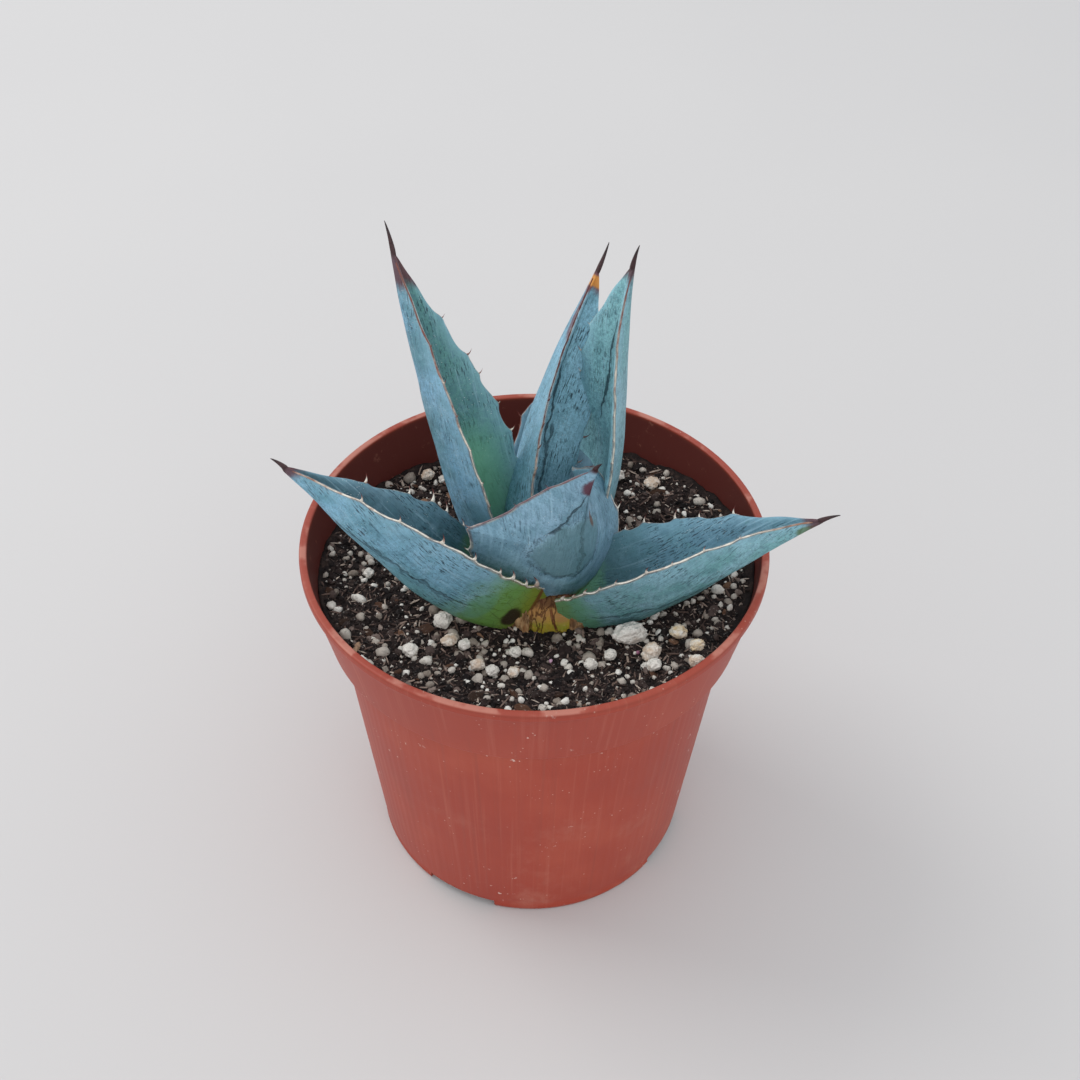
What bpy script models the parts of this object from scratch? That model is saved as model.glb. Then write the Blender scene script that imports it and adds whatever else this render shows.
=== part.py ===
"""Potted agave: a nursery pot, soil, surface grains, a short stem and seven leaves.

Lengths are given in millimetres and turned into metres by MM. The pot stands on
z = 0 with its axis on the origin. The front of the plant faces -Y.
"""

import math

import bmesh
import bpy
from mathutils import Vector

MM = 0.001
GAP = 0.35  # clearance between neighbouring pieces

# pot
RIM_RADIUS = 60.0
POT_HEIGHT = 104.6
LIP_HEIGHT = 2.4
LIP_STEP = 0.8
COLLAR_HEIGHT = 22.0
COLLAR_FOOT_RADIUS = 55.3
SHOULDER_RADIUS = 52.2
BASE_RADIUS = 44.3
WALL = 1.2
FLOOR = 2.6
FOOT_RECESS = 1.0
NOTCH_COUNT = 4
NOTCH_ANGLE = -116.0
NOTCH_WIDTH = 22.0
NOTCH_HEIGHT = 3.2
HOLE_COUNT = 8
HOLE_RADIUS = 3.2
HOLE_CIRCLE = 0.76  # of the base radius

# soil
SOIL_DROP = 8.0  # below the rim, at the wall, before it leans
SOIL_LEAN_BACK = 4.0  # lower at the back, higher at the front
SOIL_LEAN_LEFT = 2.0  # lower at the left, higher at the right
SOIL_SETTLED = 2.5  # lower still at the back and the front
SOIL_HOLLOW = 7.4  # lower at the stem than at the wall
SOIL_RINGS = 8
SOIL_SEGMENTS = 40

# stem
STEM_X = 4.0
STEM_Y = -0.5
STEM_RADIUS = 9.5
STEM_DEPTH = 11.6
STEM_HEIGHT = 4.4
BUD_HEIGHT = 17.0
BUD_RADIUS = 3.4

# leaves
LEAF_SCALE = 1.0
LEAF_WIDTH = 1.0
LEAF_SECTIONS = 15
HALF_RING = 5
BASE_THICKNESS = 6.2
MIDDLE_THICKNESS = 4.0
TIP_THICKNESS = 2.4
MARGIN_THICKNESS = 0.9
SPINE_RADIUS = 0.85

# One row for each leaf, in the order they are fitted together, inner ones first:
# foot x, y, height over the soil; length; azimuth at the foot and the tip;
# elevation at the foot, the middle and the tip; roll at the foot and the tip;
# half width, its share at the foot, where it is widest, how it tapers;
# fold of each half at the foot, the middle and the tip; spine length; how round the
# keel is.
LEAVES = [
    ("leaf_centre_tall", (-9.0, -0.4, 6.0), 80.5, (84, 38), (64, 49, 59), (84, 78),
     (14.5, 0.72, 0.33, 1.23), (46, 45, 56), 8.0, 0.35),
    ("leaf_right_tall", (14.4, 13.3, -4.3), 90.7, (34, 45), (58, 90, 82), (-21, -21),
     (13.5, 0.72, 0.39, 1.43), (42, 30, 52), 6.0, 0.35),
    ("leaf_front", (5.7, -12.0, 3.7), 52.5, (-49, -24), (56, 84, 73), (-23, -8),
     (26.0, 0.66, 0.55, 0.5), (27, 40, 72), 3.2, 0.78),
    ("leaf_upper_left", (-12.2, 2.2, -1.3), 91.6, (168, 107), (63, 73, 51), (-1, 47),
     (17.8, 0.72, 0.39, 0.86), (60, 56, 64), 8.5, 0.35),
    ("leaf_back", (4.5, 9.5, 3.0), 50.0, (93, 80), (42, 33, 20), (0, 5),
     (13.0, 0.6, 0.4, 1.1), (36, 38, 48), 4.0, 0.4),
    ("leaf_right_low", (8.1, -14.4, -3.0), 72.4, (-11, 16), (6.5, 38.5, 21), (-9, -26),
     (21.6, 0.69, 0.33, 0.91), (62, 52, 62), 5.5, 0.3),
    ("leaf_left_low", (-0.5, -14.4, -2.8), 80.5, (207, 146.5), (14, 47.7, 28.3), (18.4, 29.8),
     (20.5, 0.72, 0.47, 0.86), (61.7, 56, 66), 4.5, 0.3),
]

# dry remnants of old leaves: name, tint, radius, thickness, start and end angle,
# height, lean, raggedness
HUSKS = [
    ("husk_right", "straw", 19.4, 0.9, -72.0, -57.0, 8.6, -1.2, 0.1),
    ("husk_left", "straw", 19.4, 0.9, -121.0, -107.0, 8.0, -1.2, 0.12),
    ("old_leaf_stub", "brown", 14.6, 4.3, -122.0, -56.0, 9.5, -1.5, 0.04),
]

# surface grains: x, y, half sizes, turn, tint
GRAINS = [
    (24.5, -24.7, 4.4, 2.8, 2.6, 22, "white"),
    (29.1, -32.4, 2.6, 2.1, 2.0, 60, "tan"),
    (36.2, -25.5, 2.2, 1.8, 1.6, 10, "cream"),
    (40.2, -31.4, 1.9, 1.7, 1.4, 40, "cream"),
    (-22.8, -18.6, 2.3, 2.4, 1.9, 0, "white"),
    (-20.8, -25.7, 2.2, 1.6, 1.3, 30, "tan"),
    (-29.9, -31.3, 1.8, 1.9, 1.5, 15, "white"),
    (-17.0, -26.9, 1.6, 1.5, 1.4, 70, "white"),
    (-4.2, -28.6, 1.5, 1.5, 1.3, 0, "white"),
    (-13.4, -33.7, 1.8, 1.5, 1.4, 25, "tan"),
    (-9.6, -35.7, 1.6, 1.5, 1.3, 50, "white"),
    (-4.5, -36.6, 1.5, 1.4, 1.2, 80, "tan"),
    (14.4, -34.3, 1.6, 1.5, 1.4, 10, "white"),
    (29.6, -37.0, 1.8, 1.7, 1.4, 35, "white"),
    (19.3, -30.6, 1.6, 1.4, 1.2, 65, "white"),
    (39.6, -38.0, 2.0, 1.7, 1.4, 5, "tan"),
    (-43.2, -2.7, 1.4, 1.3, 1.2, 45, "white"),
    (-30.6, 37.7, 1.8, 1.6, 1.5, 20, "tan"),
    (23.2, 39.3, 1.9, 1.7, 1.3, 75, "grey"),
    (32.3, 34.1, 2.2, 1.8, 1.2, 30, "tan"),
]
GRAIN_SCALE = 1.0

STEM_LEVEL = POT_HEIGHT - SOIL_DROP - SOIL_HOLLOW  # the ground round the stem


def clear_scene():
    for old in list(bpy.data.objects):
        bpy.data.objects.remove(old, do_unlink=True)


def material(name, colour, roughness, metallic=0.0, coat=0.0):
    made = bpy.data.materials.new(name)
    made.use_nodes = True
    shader = made.node_tree.nodes["Principled BSDF"]
    shader.inputs["Base Color"].default_value = (*colour, 1.0)
    shader.inputs["Roughness"].default_value = roughness
    shader.inputs["Metallic"].default_value = metallic
    shader.inputs["Coat Weight"].default_value = coat
    return made


def add_object(name, points, faces, look):
    mesh = bpy.data.meshes.new(name)
    mesh.from_pydata([[c * MM for c in p] for p in points], [], faces)
    mesh.validate()
    edit = bmesh.new()
    edit.from_mesh(mesh)
    bmesh.ops.recalc_face_normals(edit, faces=edit.faces)
    edit.to_mesh(mesh)
    edit.free()
    made = bpy.data.objects.new(name, mesh)
    bpy.context.scene.collection.objects.link(made)
    made.data.materials.append(look)
    return made


def subtract(target, cutter_points, cutter_faces, largest=False):
    """Cuts the solid given by points and faces out of target, for good."""
    look = target.data.materials[0]
    cutter = add_object("cutter", cutter_points, cutter_faces, look)
    step = target.modifiers.new("cut", "BOOLEAN")
    step.operation = "DIFFERENCE"
    step.solver = "EXACT"
    step.object = cutter
    bpy.context.view_layer.update()
    graph = bpy.context.evaluated_depsgraph_get()
    result = bpy.data.meshes.new_from_object(target.evaluated_get(graph))
    target.modifiers.remove(step)
    old = target.data
    target.data = result
    result.name = target.name
    bpy.data.meshes.remove(old)
    bpy.data.objects.remove(cutter, do_unlink=True)
    if largest:
        keep_largest(target)


def keep_largest(target):
    """Drops the crumbs a cut leaves, so that one body stays."""
    edit = bmesh.new()
    edit.from_mesh(target.data)
    bmesh.ops.remove_doubles(edit, verts=edit.verts, dist=0.00001)
    bmesh.ops.triangulate(edit, faces=edit.faces)
    left = set(edit.faces)
    shells = []
    while left:
        stack = [next(iter(left))]
        left.discard(stack[0])
        shell = []
        while stack:
            face = stack.pop()
            shell.append(face)
            for edge in face.edges:
                for other in edge.link_faces:
                    if other in left:
                        left.discard(other)
                        stack.append(other)
        volume = 0.0
        for face in shell:
            a, b, c = (v.co for v in face.verts)
            volume += a.dot(b.cross(c)) / 6.0
        shells.append((volume, shell))
    shells.sort(key=lambda entry: -entry[0])
    for volume, shell in shells[1:]:
        bmesh.ops.delete(edit, geom=shell, context="FACES")
    edit.to_mesh(target.data)
    edit.free()


def revolve(profile, segments):
    """A solid of revolution from (radius, height) pairs that start and end on the axis."""
    points = []
    faces = []
    rings = []
    for radius, height in profile:
        if radius < 1e-6:
            rings.append([len(points)])
            points.append((0.0, 0.0, height))
            continue
        ring = []
        for k in range(segments):
            turn = 2.0 * math.pi * k / segments
            ring.append(len(points))
            points.append((radius * math.cos(turn), radius * math.sin(turn), height))
        rings.append(ring)
    for low, high in zip(rings, rings[1:]):
        for k in range(segments):
            n = (k + 1) % segments
            if len(low) == 1:
                faces.append((low[0], high[k], high[n]))
            elif len(high) == 1:
                faces.append((low[k], low[n], high[0]))
            else:
                faces.append((low[k], low[n], high[n], high[k]))
    return points, faces


def block(centre, half, turn):
    """A box turned about z, as points and faces."""
    points = []
    for z in (-1, 1):
        for x, y in ((-1, -1), (1, -1), (1, 1), (-1, 1)):
            px = x * half[0]
            py = y * half[1]
            points.append((
                centre[0] + px * math.cos(turn) - py * math.sin(turn),
                centre[1] + px * math.sin(turn) + py * math.cos(turn),
                centre[2] + z * half[2],
            ))
    faces = [(3, 2, 1, 0), (4, 5, 6, 7), (0, 1, 5, 4), (1, 2, 6, 5), (2, 3, 7, 6), (3, 0, 4, 7)]
    return points, faces


def collar_radius(height):
    """Outer radius of the collar at a height."""
    top = POT_HEIGHT - LIP_HEIGHT
    low = POT_HEIGHT - COLLAR_HEIGHT
    share = (height - low) / (top - low)
    return COLLAR_FOOT_RADIUS + (RIM_RADIUS - LIP_STEP - COLLAR_FOOT_RADIUS) * share


def body_radius(height):
    """Outer radius of the tapered body at a height."""
    share = height / (POT_HEIGHT - COLLAR_HEIGHT)
    return BASE_RADIUS + (SHOULDER_RADIUS - BASE_RADIUS) * share


def inner_wall():
    """Corners of the pot's inner wall, from the mouth down to the floor."""
    low = POT_HEIGHT - COLLAR_HEIGHT
    return [
        (RIM_RADIUS - LIP_STEP - WALL, POT_HEIGHT - 0.4),
        (COLLAR_FOOT_RADIUS - WALL, low + WALL),
        (SHOULDER_RADIUS - WALL, low),
        (body_radius(low * 0.5) - WALL, low * 0.5),
        (body_radius(FLOOR) - WALL, FLOOR),
    ]


def inner_radius(height):
    """Radius of the inner wall at a height."""
    corners = inner_wall()
    for (wide, high), (narrow, low) in zip(corners, corners[1:]):
        if height >= low:
            share = (height - low) / (high - low)
            return narrow + (wide - narrow) * share
    return corners[-1][0]


def build_pot(look):
    low = POT_HEIGHT - COLLAR_HEIGHT
    top = POT_HEIGHT
    inner_edge = BASE_RADIUS * 0.66
    outer_edge = BASE_RADIUS * 0.9
    profile = [
        (0.0, 0.0),
        (inner_edge, 0.0),
        (inner_edge + FOOT_RECESS, FOOT_RECESS),
        (outer_edge - FOOT_RECESS, FOOT_RECESS),
        (outer_edge, 0.0),
        (BASE_RADIUS - 0.8, 0.0),
        (BASE_RADIUS, 0.8),
        (body_radius(low * 0.5), low * 0.5),
        (SHOULDER_RADIUS, low),
        (COLLAR_FOOT_RADIUS, low),
        (collar_radius(top - LIP_HEIGHT), top - LIP_HEIGHT),
        (RIM_RADIUS, top - LIP_HEIGHT + 0.2),
        (RIM_RADIUS, top - 0.5),
        (RIM_RADIUS - 0.5, top),
        (RIM_RADIUS - LIP_STEP - WALL + 0.3, top),
        *inner_wall(),
        (0.0, FLOOR),
    ]
    points, faces = revolve(profile, 64)
    pot = add_object("pot", points, faces, look)
    for k in range(NOTCH_COUNT):
        turn = math.radians(NOTCH_ANGLE + 360.0 * k / NOTCH_COUNT)
        reach = BASE_RADIUS * 0.97
        centre = (reach * math.cos(turn), reach * math.sin(turn), NOTCH_HEIGHT - 10.0)
        subtract(pot, *block(centre, (BASE_RADIUS * 0.1, NOTCH_WIDTH / 2, 10.0), turn))
    for k in range(HOLE_COUNT):
        turn = math.radians(NOTCH_ANGLE + 360.0 * (k + 0.5) / HOLE_COUNT)
        x = BASE_RADIUS * HOLE_CIRCLE * math.cos(turn)
        y = BASE_RADIUS * HOLE_CIRCLE * math.sin(turn)
        ring, sides = revolve([(0, -2), (HOLE_RADIUS, -2), (HOLE_RADIUS, 8), (0, 8)], 16)
        subtract(pot, [(p[0] + x, p[1] + y, p[2]) for p in ring], sides)
    return pot


def soil_edge(turn):
    """Radius and height of the soil's edge at the wall, in one direction."""
    drop = SOIL_DROP + SOIL_LEAN_BACK * math.sin(turn) - SOIL_LEAN_LEFT * math.cos(turn)
    drop += SOIL_SETTLED * math.sin(turn) ** 2
    height = POT_HEIGHT - drop
    return inner_radius(height), height


def soil_height(x, y):
    """The top of the soil: a shallow dish with soft dips, level with its edge at the wall."""
    edge, height = soil_edge(math.atan2(y, x))
    away = math.hypot(x, y) / edge
    settle = max(0.0, 1.0 - away * away)
    dips = 0.55 * math.sin(x * 0.21 + 0.6) * math.cos(y * 0.17 - 0.4)
    dips += 0.35 * math.sin(x * 0.09 - y * 0.13 + 2.0)
    rise = (height - STEM_LEVEL) * min(1.0, away) ** 2.4
    return STEM_LEVEL + rise + dips * min(1.0, settle * 3.0)


def build_soil(look):
    foot = NOTCH_HEIGHT + GAP + 1.0
    turns = [2.0 * math.pi * k / SOIL_SEGMENTS for k in range(SOIL_SEGMENTS)]
    lowest = min(soil_edge(turn)[1] for turn in turns)
    side = []
    for radius, height in inner_wall():
        if foot < height < lowest - GAP:
            side.append((radius - GAP, height + GAP * 0.4))
    side.append((inner_radius(foot) - GAP, foot))
    points = [(0.0, 0.0, soil_height(0.0, 0.0))]
    rings = []
    for r in range(1, SOIL_RINGS + 1):
        ring = []
        for turn in turns:
            edge = soil_edge(turn)[0] - GAP
            x = edge * r / SOIL_RINGS * math.cos(turn)
            y = edge * r / SOIL_RINGS * math.sin(turn)
            ring.append(len(points))
            points.append((x, y, soil_height(x, y)))
        rings.append(ring)
    for radius, height in side:
        ring = []
        for k in range(SOIL_SEGMENTS):
            turn = 2.0 * math.pi * k / SOIL_SEGMENTS
            ring.append(len(points))
            points.append((radius * math.cos(turn), radius * math.sin(turn), height))
        rings.append(ring)
    bottom = len(points)
    points.append((0.0, 0.0, foot))
    faces = []
    for k in range(SOIL_SEGMENTS):
        n = (k + 1) % SOIL_SEGMENTS
        faces.append((0, rings[0][k], rings[0][n]))
        faces.append((bottom, rings[-1][n], rings[-1][k]))
        for inner, outer in zip(rings, rings[1:]):
            faces.append((inner[k], outer[k], outer[n], inner[n]))
    soil = add_object("soil", points, faces, look)
    socket, sides = stem_solid(GAP)
    subtract(soil, socket, sides)
    return soil


def stem_solid(grow):
    """The short thick stem, most of it in the soil."""
    top = STEM_LEVEL + STEM_HEIGHT
    low = STEM_LEVEL - STEM_DEPTH
    radius = STEM_RADIUS + grow
    profile = [
        (0.0, low - grow),
        (radius * 0.55, low - grow),
        (radius * 0.92, low + 3.0),
        (radius, STEM_LEVEL - 3.6),
        (radius * 0.94, STEM_LEVEL + STEM_HEIGHT * 0.05),
        (radius * 0.7, top - 1.4 + grow),
        (radius * 0.35, top - 0.2 + grow),
        (0.0, top + grow),
    ]
    points, faces = revolve(profile, 20)
    return [(p[0] + STEM_X, p[1] + STEM_Y, p[2]) for p in points], faces


def bud_solid(grow):
    """The closed shoot of young leaves that stands on the stem."""
    low = STEM_LEVEL + STEM_HEIGHT + GAP - grow
    profile = [(0.0, low)]
    for k in range(7):
        share = k / 7.0
        swell = math.sin(math.pi * (0.28 + 0.72 * share)) ** 0.8
        profile.append((BUD_RADIUS * swell + grow, low + BUD_HEIGHT * share))
    profile.append((0.0, low + BUD_HEIGHT + grow * 2.0))
    points, faces = revolve(profile, 14)
    return [(p[0] + STEM_X, p[1] + STEM_Y, p[2]) for p in points], faces


def through(first, middle, last, t):
    """The parabola through three values at 0, 0.5 and 1."""
    value = first * (2.0 * t - 1.0) * (t - 1.0)
    value += middle * 4.0 * t * (1.0 - t)
    return value + last * t * (2.0 * t - 1.0)


def leaf_frames(row, count):
    """Position, side, inner normal, half width and fold along a leaf."""
    name, foot, length, azimuths, rises, rolls, width, folds, spine, keel = row
    place = Vector((foot[0], foot[1], STEM_LEVEL + foot[2] - 1.2))
    frames = []
    before = None
    for i in range(count):
        t = i / (count - 1)
        azimuth = math.radians(azimuths[0] + (azimuths[1] - azimuths[0]) * t)
        rise = math.radians(through(*rises, t))
        roll = math.radians(rolls[0] + (rolls[1] - rolls[0]) * t)
        along = Vector((
            math.cos(rise) * math.cos(azimuth),
            math.cos(rise) * math.sin(azimuth),
            math.sin(rise),
        ))
        flat = Vector((-math.sin(azimuth), math.cos(azimuth), 0.0))
        up = along.cross(flat)
        side = flat * math.cos(roll) + up * math.sin(roll)
        inner = up * math.cos(roll) - flat * math.sin(roll)
        if before is not None:
            place = place + (along + before) * 0.5 * length * LEAF_SCALE / (count - 1)
        before = along
        widest, share, peak, taper = width
        if t < peak:
            shape = share + (1.0 - share) * math.sin(0.5 * math.pi * t / peak)
        else:
            shape = math.cos(0.5 * math.pi * ((t - peak) / (1.0 - peak)) ** taper)
        half = widest * LEAF_WIDTH * shape + 0.8
        fold = math.radians(through(*folds, t))
        frames.append((t, place.copy(), along, side, inner, half, fold))
    return frames


def leaf_solid(row, grow):
    """A channelled leaf with a terminal spine, or the same one grown on all sides."""
    frames = leaf_frames(row, LEAF_SECTIONS)
    spine = row[-2] * LEAF_SCALE
    soft = row[-1]
    points = []
    rings = []
    steps = [k / HALF_RING for k in range(-HALF_RING, HALF_RING + 1)]
    for t, place, along, side, inner, half, fold in frames:
        keel = through(BASE_THICKNESS, MIDDLE_THICKNESS, TIP_THICKNESS, t)
        if t > 0.85:
            keel = keel + (2.0 * SPINE_RADIUS - keel) * (t - 0.85) / 0.15
        keel = min(keel, 0.62 * half + 0.9)
        ring = []
        lower = []
        upper = []
        for u in steps:
            rounded = math.sqrt(u * u + soft * soft) - soft
            rounded /= math.sqrt(1.0 + soft * soft) - soft
            out = half * math.cos(fold) * u
            lift = half * math.sin(fold) * rounded
            depth = MARGIN_THICKNESS + (keel - MARGIN_THICKNESS) * (1.0 - u * u) ** 0.7
            wide = out + grow * 1.2 * u
            base = place + side * wide + inner * lift
            drop = grow / math.cos(fold * abs(u)) if abs(u) < 0.99 else grow
            lower.append(base - inner * drop)
            upper.append(base + inner * (depth + drop))
        for p in lower + upper[::-1]:
            ring.append(len(points))
            points.append(p)
        rings.append(ring)
    if grow > 0.0:
        for index, shift in ((0, -grow), (-1, 0.0)):
            for n in rings[index]:
                points[n] = points[n] + frames[index][2] * shift
    faces = []
    size = len(rings[0])
    for low, high in zip(rings, rings[1:]):
        for k in range(size):
            n = (k + 1) % size
            faces.append((low[k], low[n], high[n], high[k]))
    faces.append(tuple(rings[0][::-1]))
    last = frames[-1]
    middle = Vector((0.0, 0.0, 0.0))
    for n in rings[-1]:
        middle += points[n]
    middle = middle / size
    before = rings[-1]
    for share, radius in ((0.34, 0.62), (0.7, 0.36), (1.0, 0.16)):
        ring = []
        for k in range(size):
            start = (points[rings[-1][k]] - middle)
            spread = start.normalized() * (SPINE_RADIUS * radius + grow)
            ring.append(len(points))
            points.append(middle + spread + last[2] * (spine * share + grow * (share > 0.9)))
        for k in range(size):
            n = (k + 1) % size
            faces.append((before[k], before[n], ring[n], ring[k]))
        before = ring
    faces.append(tuple(before))
    return [tuple(p) for p in points], faces


def soil_cover():
    """The ground raised by the gap, for cutting what would reach into it."""
    points = [(0.0, 0.0, soil_height(0.0, 0.0) + GAP)]
    rings = []
    for r in range(1, SOIL_RINGS + 2):
        ring = []
        for k in range(SOIL_SEGMENTS):
            turn = 2.0 * math.pi * k / SOIL_SEGMENTS
            edge = soil_edge(turn)[0] - GAP
            x = edge * min(r, SOIL_RINGS) / SOIL_RINGS * math.cos(turn)
            y = edge * min(r, SOIL_RINGS) / SOIL_RINGS * math.sin(turn)
            ring.append(len(points))
            height = soil_height(x, y) + GAP if r <= SOIL_RINGS else STEM_LEVEL - 20.0
            points.append((x, y, height))
        rings.append(ring)
    faces = [tuple(rings[-1][::-1])]
    for k in range(SOIL_SEGMENTS):
        n = (k + 1) % SOIL_SEGMENTS
        faces.append((0, rings[0][k], rings[0][n]))
        for inner, outer in zip(rings, rings[1:]):
            faces.append((inner[k], outer[k], outer[n], inner[n]))
    return points, faces


def build_leaves(look):
    made = []
    stem, stem_faces = stem_solid(GAP)
    bud, bud_faces = bud_solid(GAP)
    for index, row in enumerate(LEAVES):
        points, faces = leaf_solid(row, 0.0)
        leaf = add_object(row[0], points, faces, look)
        subtract(leaf, stem, stem_faces, True)
        subtract(leaf, bud, bud_faces, True)
        subtract(leaf, *soil_cover(), True)
        for other in LEAVES[:index]:
            grown, grown_faces = leaf_solid(other, GAP)
            subtract(leaf, grown, grown_faces, True)
        made.append(leaf)
    return made


def husk_solid(radius, thickness, start, end, height, lean, ragged, grow=0.0):
    """A dry remnant of an old leaf, bent round the stem, or the same one grown."""
    count = 10
    radius -= grow
    thickness += grow * 2.5
    start -= math.degrees(grow / radius)
    end += math.degrees(grow / radius)
    height += grow
    points = []
    for k in range(count + 1):
        share = k / count
        turn = math.radians(start + (end - start) * share)
        rise = height * (0.2 + 0.8 * math.sin(math.pi * (0.04 + 0.92 * share)) ** 0.8)
        rise *= 1.0 + ragged * math.sin(7.0 * share + radius)
        for side in (0, 1):
            for level in (0.0, 0.5, 1.0):
                out = radius + thickness * side * (1.0 - 0.35 * level) + lean * level * level
                x = STEM_X + out * math.cos(turn)
                y = STEM_Y + out * math.sin(turn)
                foot = STEM_LEVEL - 1.6
                points.append((x, y, foot + (rise + 1.6) * level))
    faces = []
    for k in range(count):
        a = k * 6
        b = a + 6
        for low in (0, 1):
            faces.append((a + low, b + low, b + low + 1, a + low + 1))
            faces.append((a + 3 + low, a + 4 + low, b + 4 + low, b + 3 + low))
        faces.append((a, a + 3, b + 3, b))
        faces.append((a + 2, b + 2, b + 5, a + 5))
    for a, flip in ((0, False), (count * 6, True)):
        cap = [a, a + 1, a + 2, a + 5, a + 4, a + 3]
        faces.append(tuple(cap[::-1] if flip else cap))
    return points, faces


def build_husks(looks):
    for index, (name, tint, *shape) in enumerate(HUSKS):
        points, faces = husk_solid(*shape)
        husk = add_object(name, points, faces, looks[tint])
        subtract(husk, *soil_cover(), True)
        subtract(husk, *stem_solid(GAP), True)
        for row in LEAVES:
            subtract(husk, *leaf_solid(row, GAP), True)
        for other in HUSKS[:index]:
            subtract(husk, *husk_solid(*other[2:], GAP * 2.0), True)


def knob(x, y, a, b, c, turn, seed):
    """A small rounded grain lying on the soil."""
    edit = bmesh.new()
    bmesh.ops.create_icosphere(edit, subdivisions=1 if max(a, b) < 2.5 else 2, radius=1.0)
    turn = math.radians(turn)
    for v in edit.verts:
        p = v.co
        bump = 1.0 + 0.1 * math.sin(5.1 * p.x + seed) * math.cos(4.3 * p.y - seed * 1.7)
        bump += 0.06 * math.sin(7.0 * p.z + seed * 2.3)
        v.co = Vector((p.x * a * bump, p.y * b * bump, max(p.z, -0.62) * c * bump))
    lowest = min(v.co.z for v in edit.verts)
    top = max(soil_height(x + dx * a, y + dy * b) for dx in (-1, 0, 1) for dy in (-1, 0, 1))
    points = []
    for v in edit.verts:
        px = v.co.x * math.cos(turn) - v.co.y * math.sin(turn)
        py = v.co.x * math.sin(turn) + v.co.y * math.cos(turn)
        points.append((x + px, y + py, top + GAP + v.co.z - lowest))
    faces = [tuple(v.index for v in f.verts) for f in edit.faces]
    edit.free()
    return points, faces


def grain_place(x, y):
    """Longer leaves push the grains outwards, less so the nearer they are to the wall."""
    away = math.hypot(x, y) / soil_edge(math.atan2(y, x))[0]
    push = (LEAF_SCALE - 1.0) * max(0.0, 1.0 - away * away)
    return x + (x - STEM_X) * push, y + (y - STEM_Y) * push


def build_grains(looks):
    for index, (x, y, a, b, c, turn, tint) in enumerate(GRAINS):
        s = GRAIN_SCALE
        x, y = grain_place(x, y)
        points, faces = knob(x, y, a * s, b * s, c * s, turn, index * 1.37)
        add_object(f"grain_{index + 1:02d}", points, faces, looks[tint])


def main():
    clear_scene()
    clay = material("pot_plastic", (0.36, 0.085, 0.05), 0.42)
    peat = material("soil_peat", (0.028, 0.02, 0.018), 0.95)
    green = material("leaf_skin", (0.2, 0.35, 0.38), 0.55)
    pale = material("stem_skin", (0.3, 0.32, 0.14), 0.7)
    grains = {
        "white": material("grain_white", (0.62, 0.6, 0.57), 0.85),
        "tan": material("grain_tan", (0.5, 0.38, 0.27), 0.9),
        "cream": material("grain_cream", (0.58, 0.46, 0.3), 0.9),
        "grey": material("grain_grey", (0.4, 0.39, 0.38), 0.9),
    }
    build_pot(clay)
    build_soil(peat)
    add_object("stem", *stem_solid(0.0), pale)
    add_object("centre_bud", *bud_solid(0.0), green)
    build_leaves(green)
    husks = {
        "brown": material("husk_brown", (0.17, 0.075, 0.035), 0.85),
        "straw": material("husk_straw", (0.42, 0.27, 0.13), 0.85),
    }
    build_husks(husks)
    build_grains(grains)


main()
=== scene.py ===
"""A young blue agave in a terracotta-coloured nursery pot, dressed around its CAD frame.

Lengths in this script are in millimetres until a mesh is made, where MM turns them
into metres. The pot's axis is the world's Z axis, and the front faces -Y.
"""

import math
import random

import bmesh
import bpy
import numpy as np
from mathutils import Matrix, Vector, noise


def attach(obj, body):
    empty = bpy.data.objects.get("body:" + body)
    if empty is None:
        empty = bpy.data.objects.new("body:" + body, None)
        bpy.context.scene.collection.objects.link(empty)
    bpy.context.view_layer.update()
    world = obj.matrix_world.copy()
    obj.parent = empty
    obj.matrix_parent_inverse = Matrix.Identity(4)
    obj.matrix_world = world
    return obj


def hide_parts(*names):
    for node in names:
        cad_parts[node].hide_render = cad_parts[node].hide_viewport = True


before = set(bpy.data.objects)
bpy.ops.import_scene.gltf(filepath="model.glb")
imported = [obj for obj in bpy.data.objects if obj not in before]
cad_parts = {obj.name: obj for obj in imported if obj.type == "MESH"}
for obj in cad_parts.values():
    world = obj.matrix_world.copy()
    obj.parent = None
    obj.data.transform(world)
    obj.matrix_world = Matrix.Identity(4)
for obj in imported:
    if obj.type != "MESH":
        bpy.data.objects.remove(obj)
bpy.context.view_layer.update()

MM = 0.001

# The pot, the soil and the leaves repeat the sizes of the CAD model.
RIM_RADIUS = 60.0
POT_HEIGHT = 104.6
LIP_HEIGHT = 2.4
LIP_STEP = 0.8
COLLAR_HEIGHT = 22.0
COLLAR_FOOT_RADIUS = 55.3
SHOULDER_RADIUS = 52.2
BASE_RADIUS = 44.3
WALL = 1.2
GAP = 0.35  # clearance between neighbouring pieces
FLOOR = 2.6
FOOT_RECESS = 1.0
NOTCH_COUNT = 4
NOTCH_ANGLE = -116.0
NOTCH_WIDTH = 22.0
NOTCH_HEIGHT = 3.2
HOLE_COUNT = 8
HOLE_RADIUS = 3.2
HOLE_CIRCLE = 0.76
FLUTE_COUNT = 112
FLUTE_DEPTH = 0.07

SOIL_DROP = 8.0
SOIL_LEAN_BACK = 4.0
SOIL_LEAN_LEFT = 2.0
SOIL_SETTLED = 2.5
SOIL_HOLLOW = 7.4
STEM_LEVEL = POT_HEIGHT - SOIL_DROP - SOIL_HOLLOW
STEM_X = 4.0
STEM_Y = -0.5
STEM_RADIUS = 9.5
STEM_DEPTH = 11.6
STEM_HEIGHT = 4.4
SHOOT_HEIGHT = 17.0
SHOOT_RADIUS = 3.3

BASE_THICKNESS = 6.2
MIDDLE_THICKNESS = 4.0
TIP_THICKNESS = 2.4
MARGIN_THICKNESS = 0.9
SPINE_RADIUS = 0.85


# ---------------------------------------------------------------- colours and shaders


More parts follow.
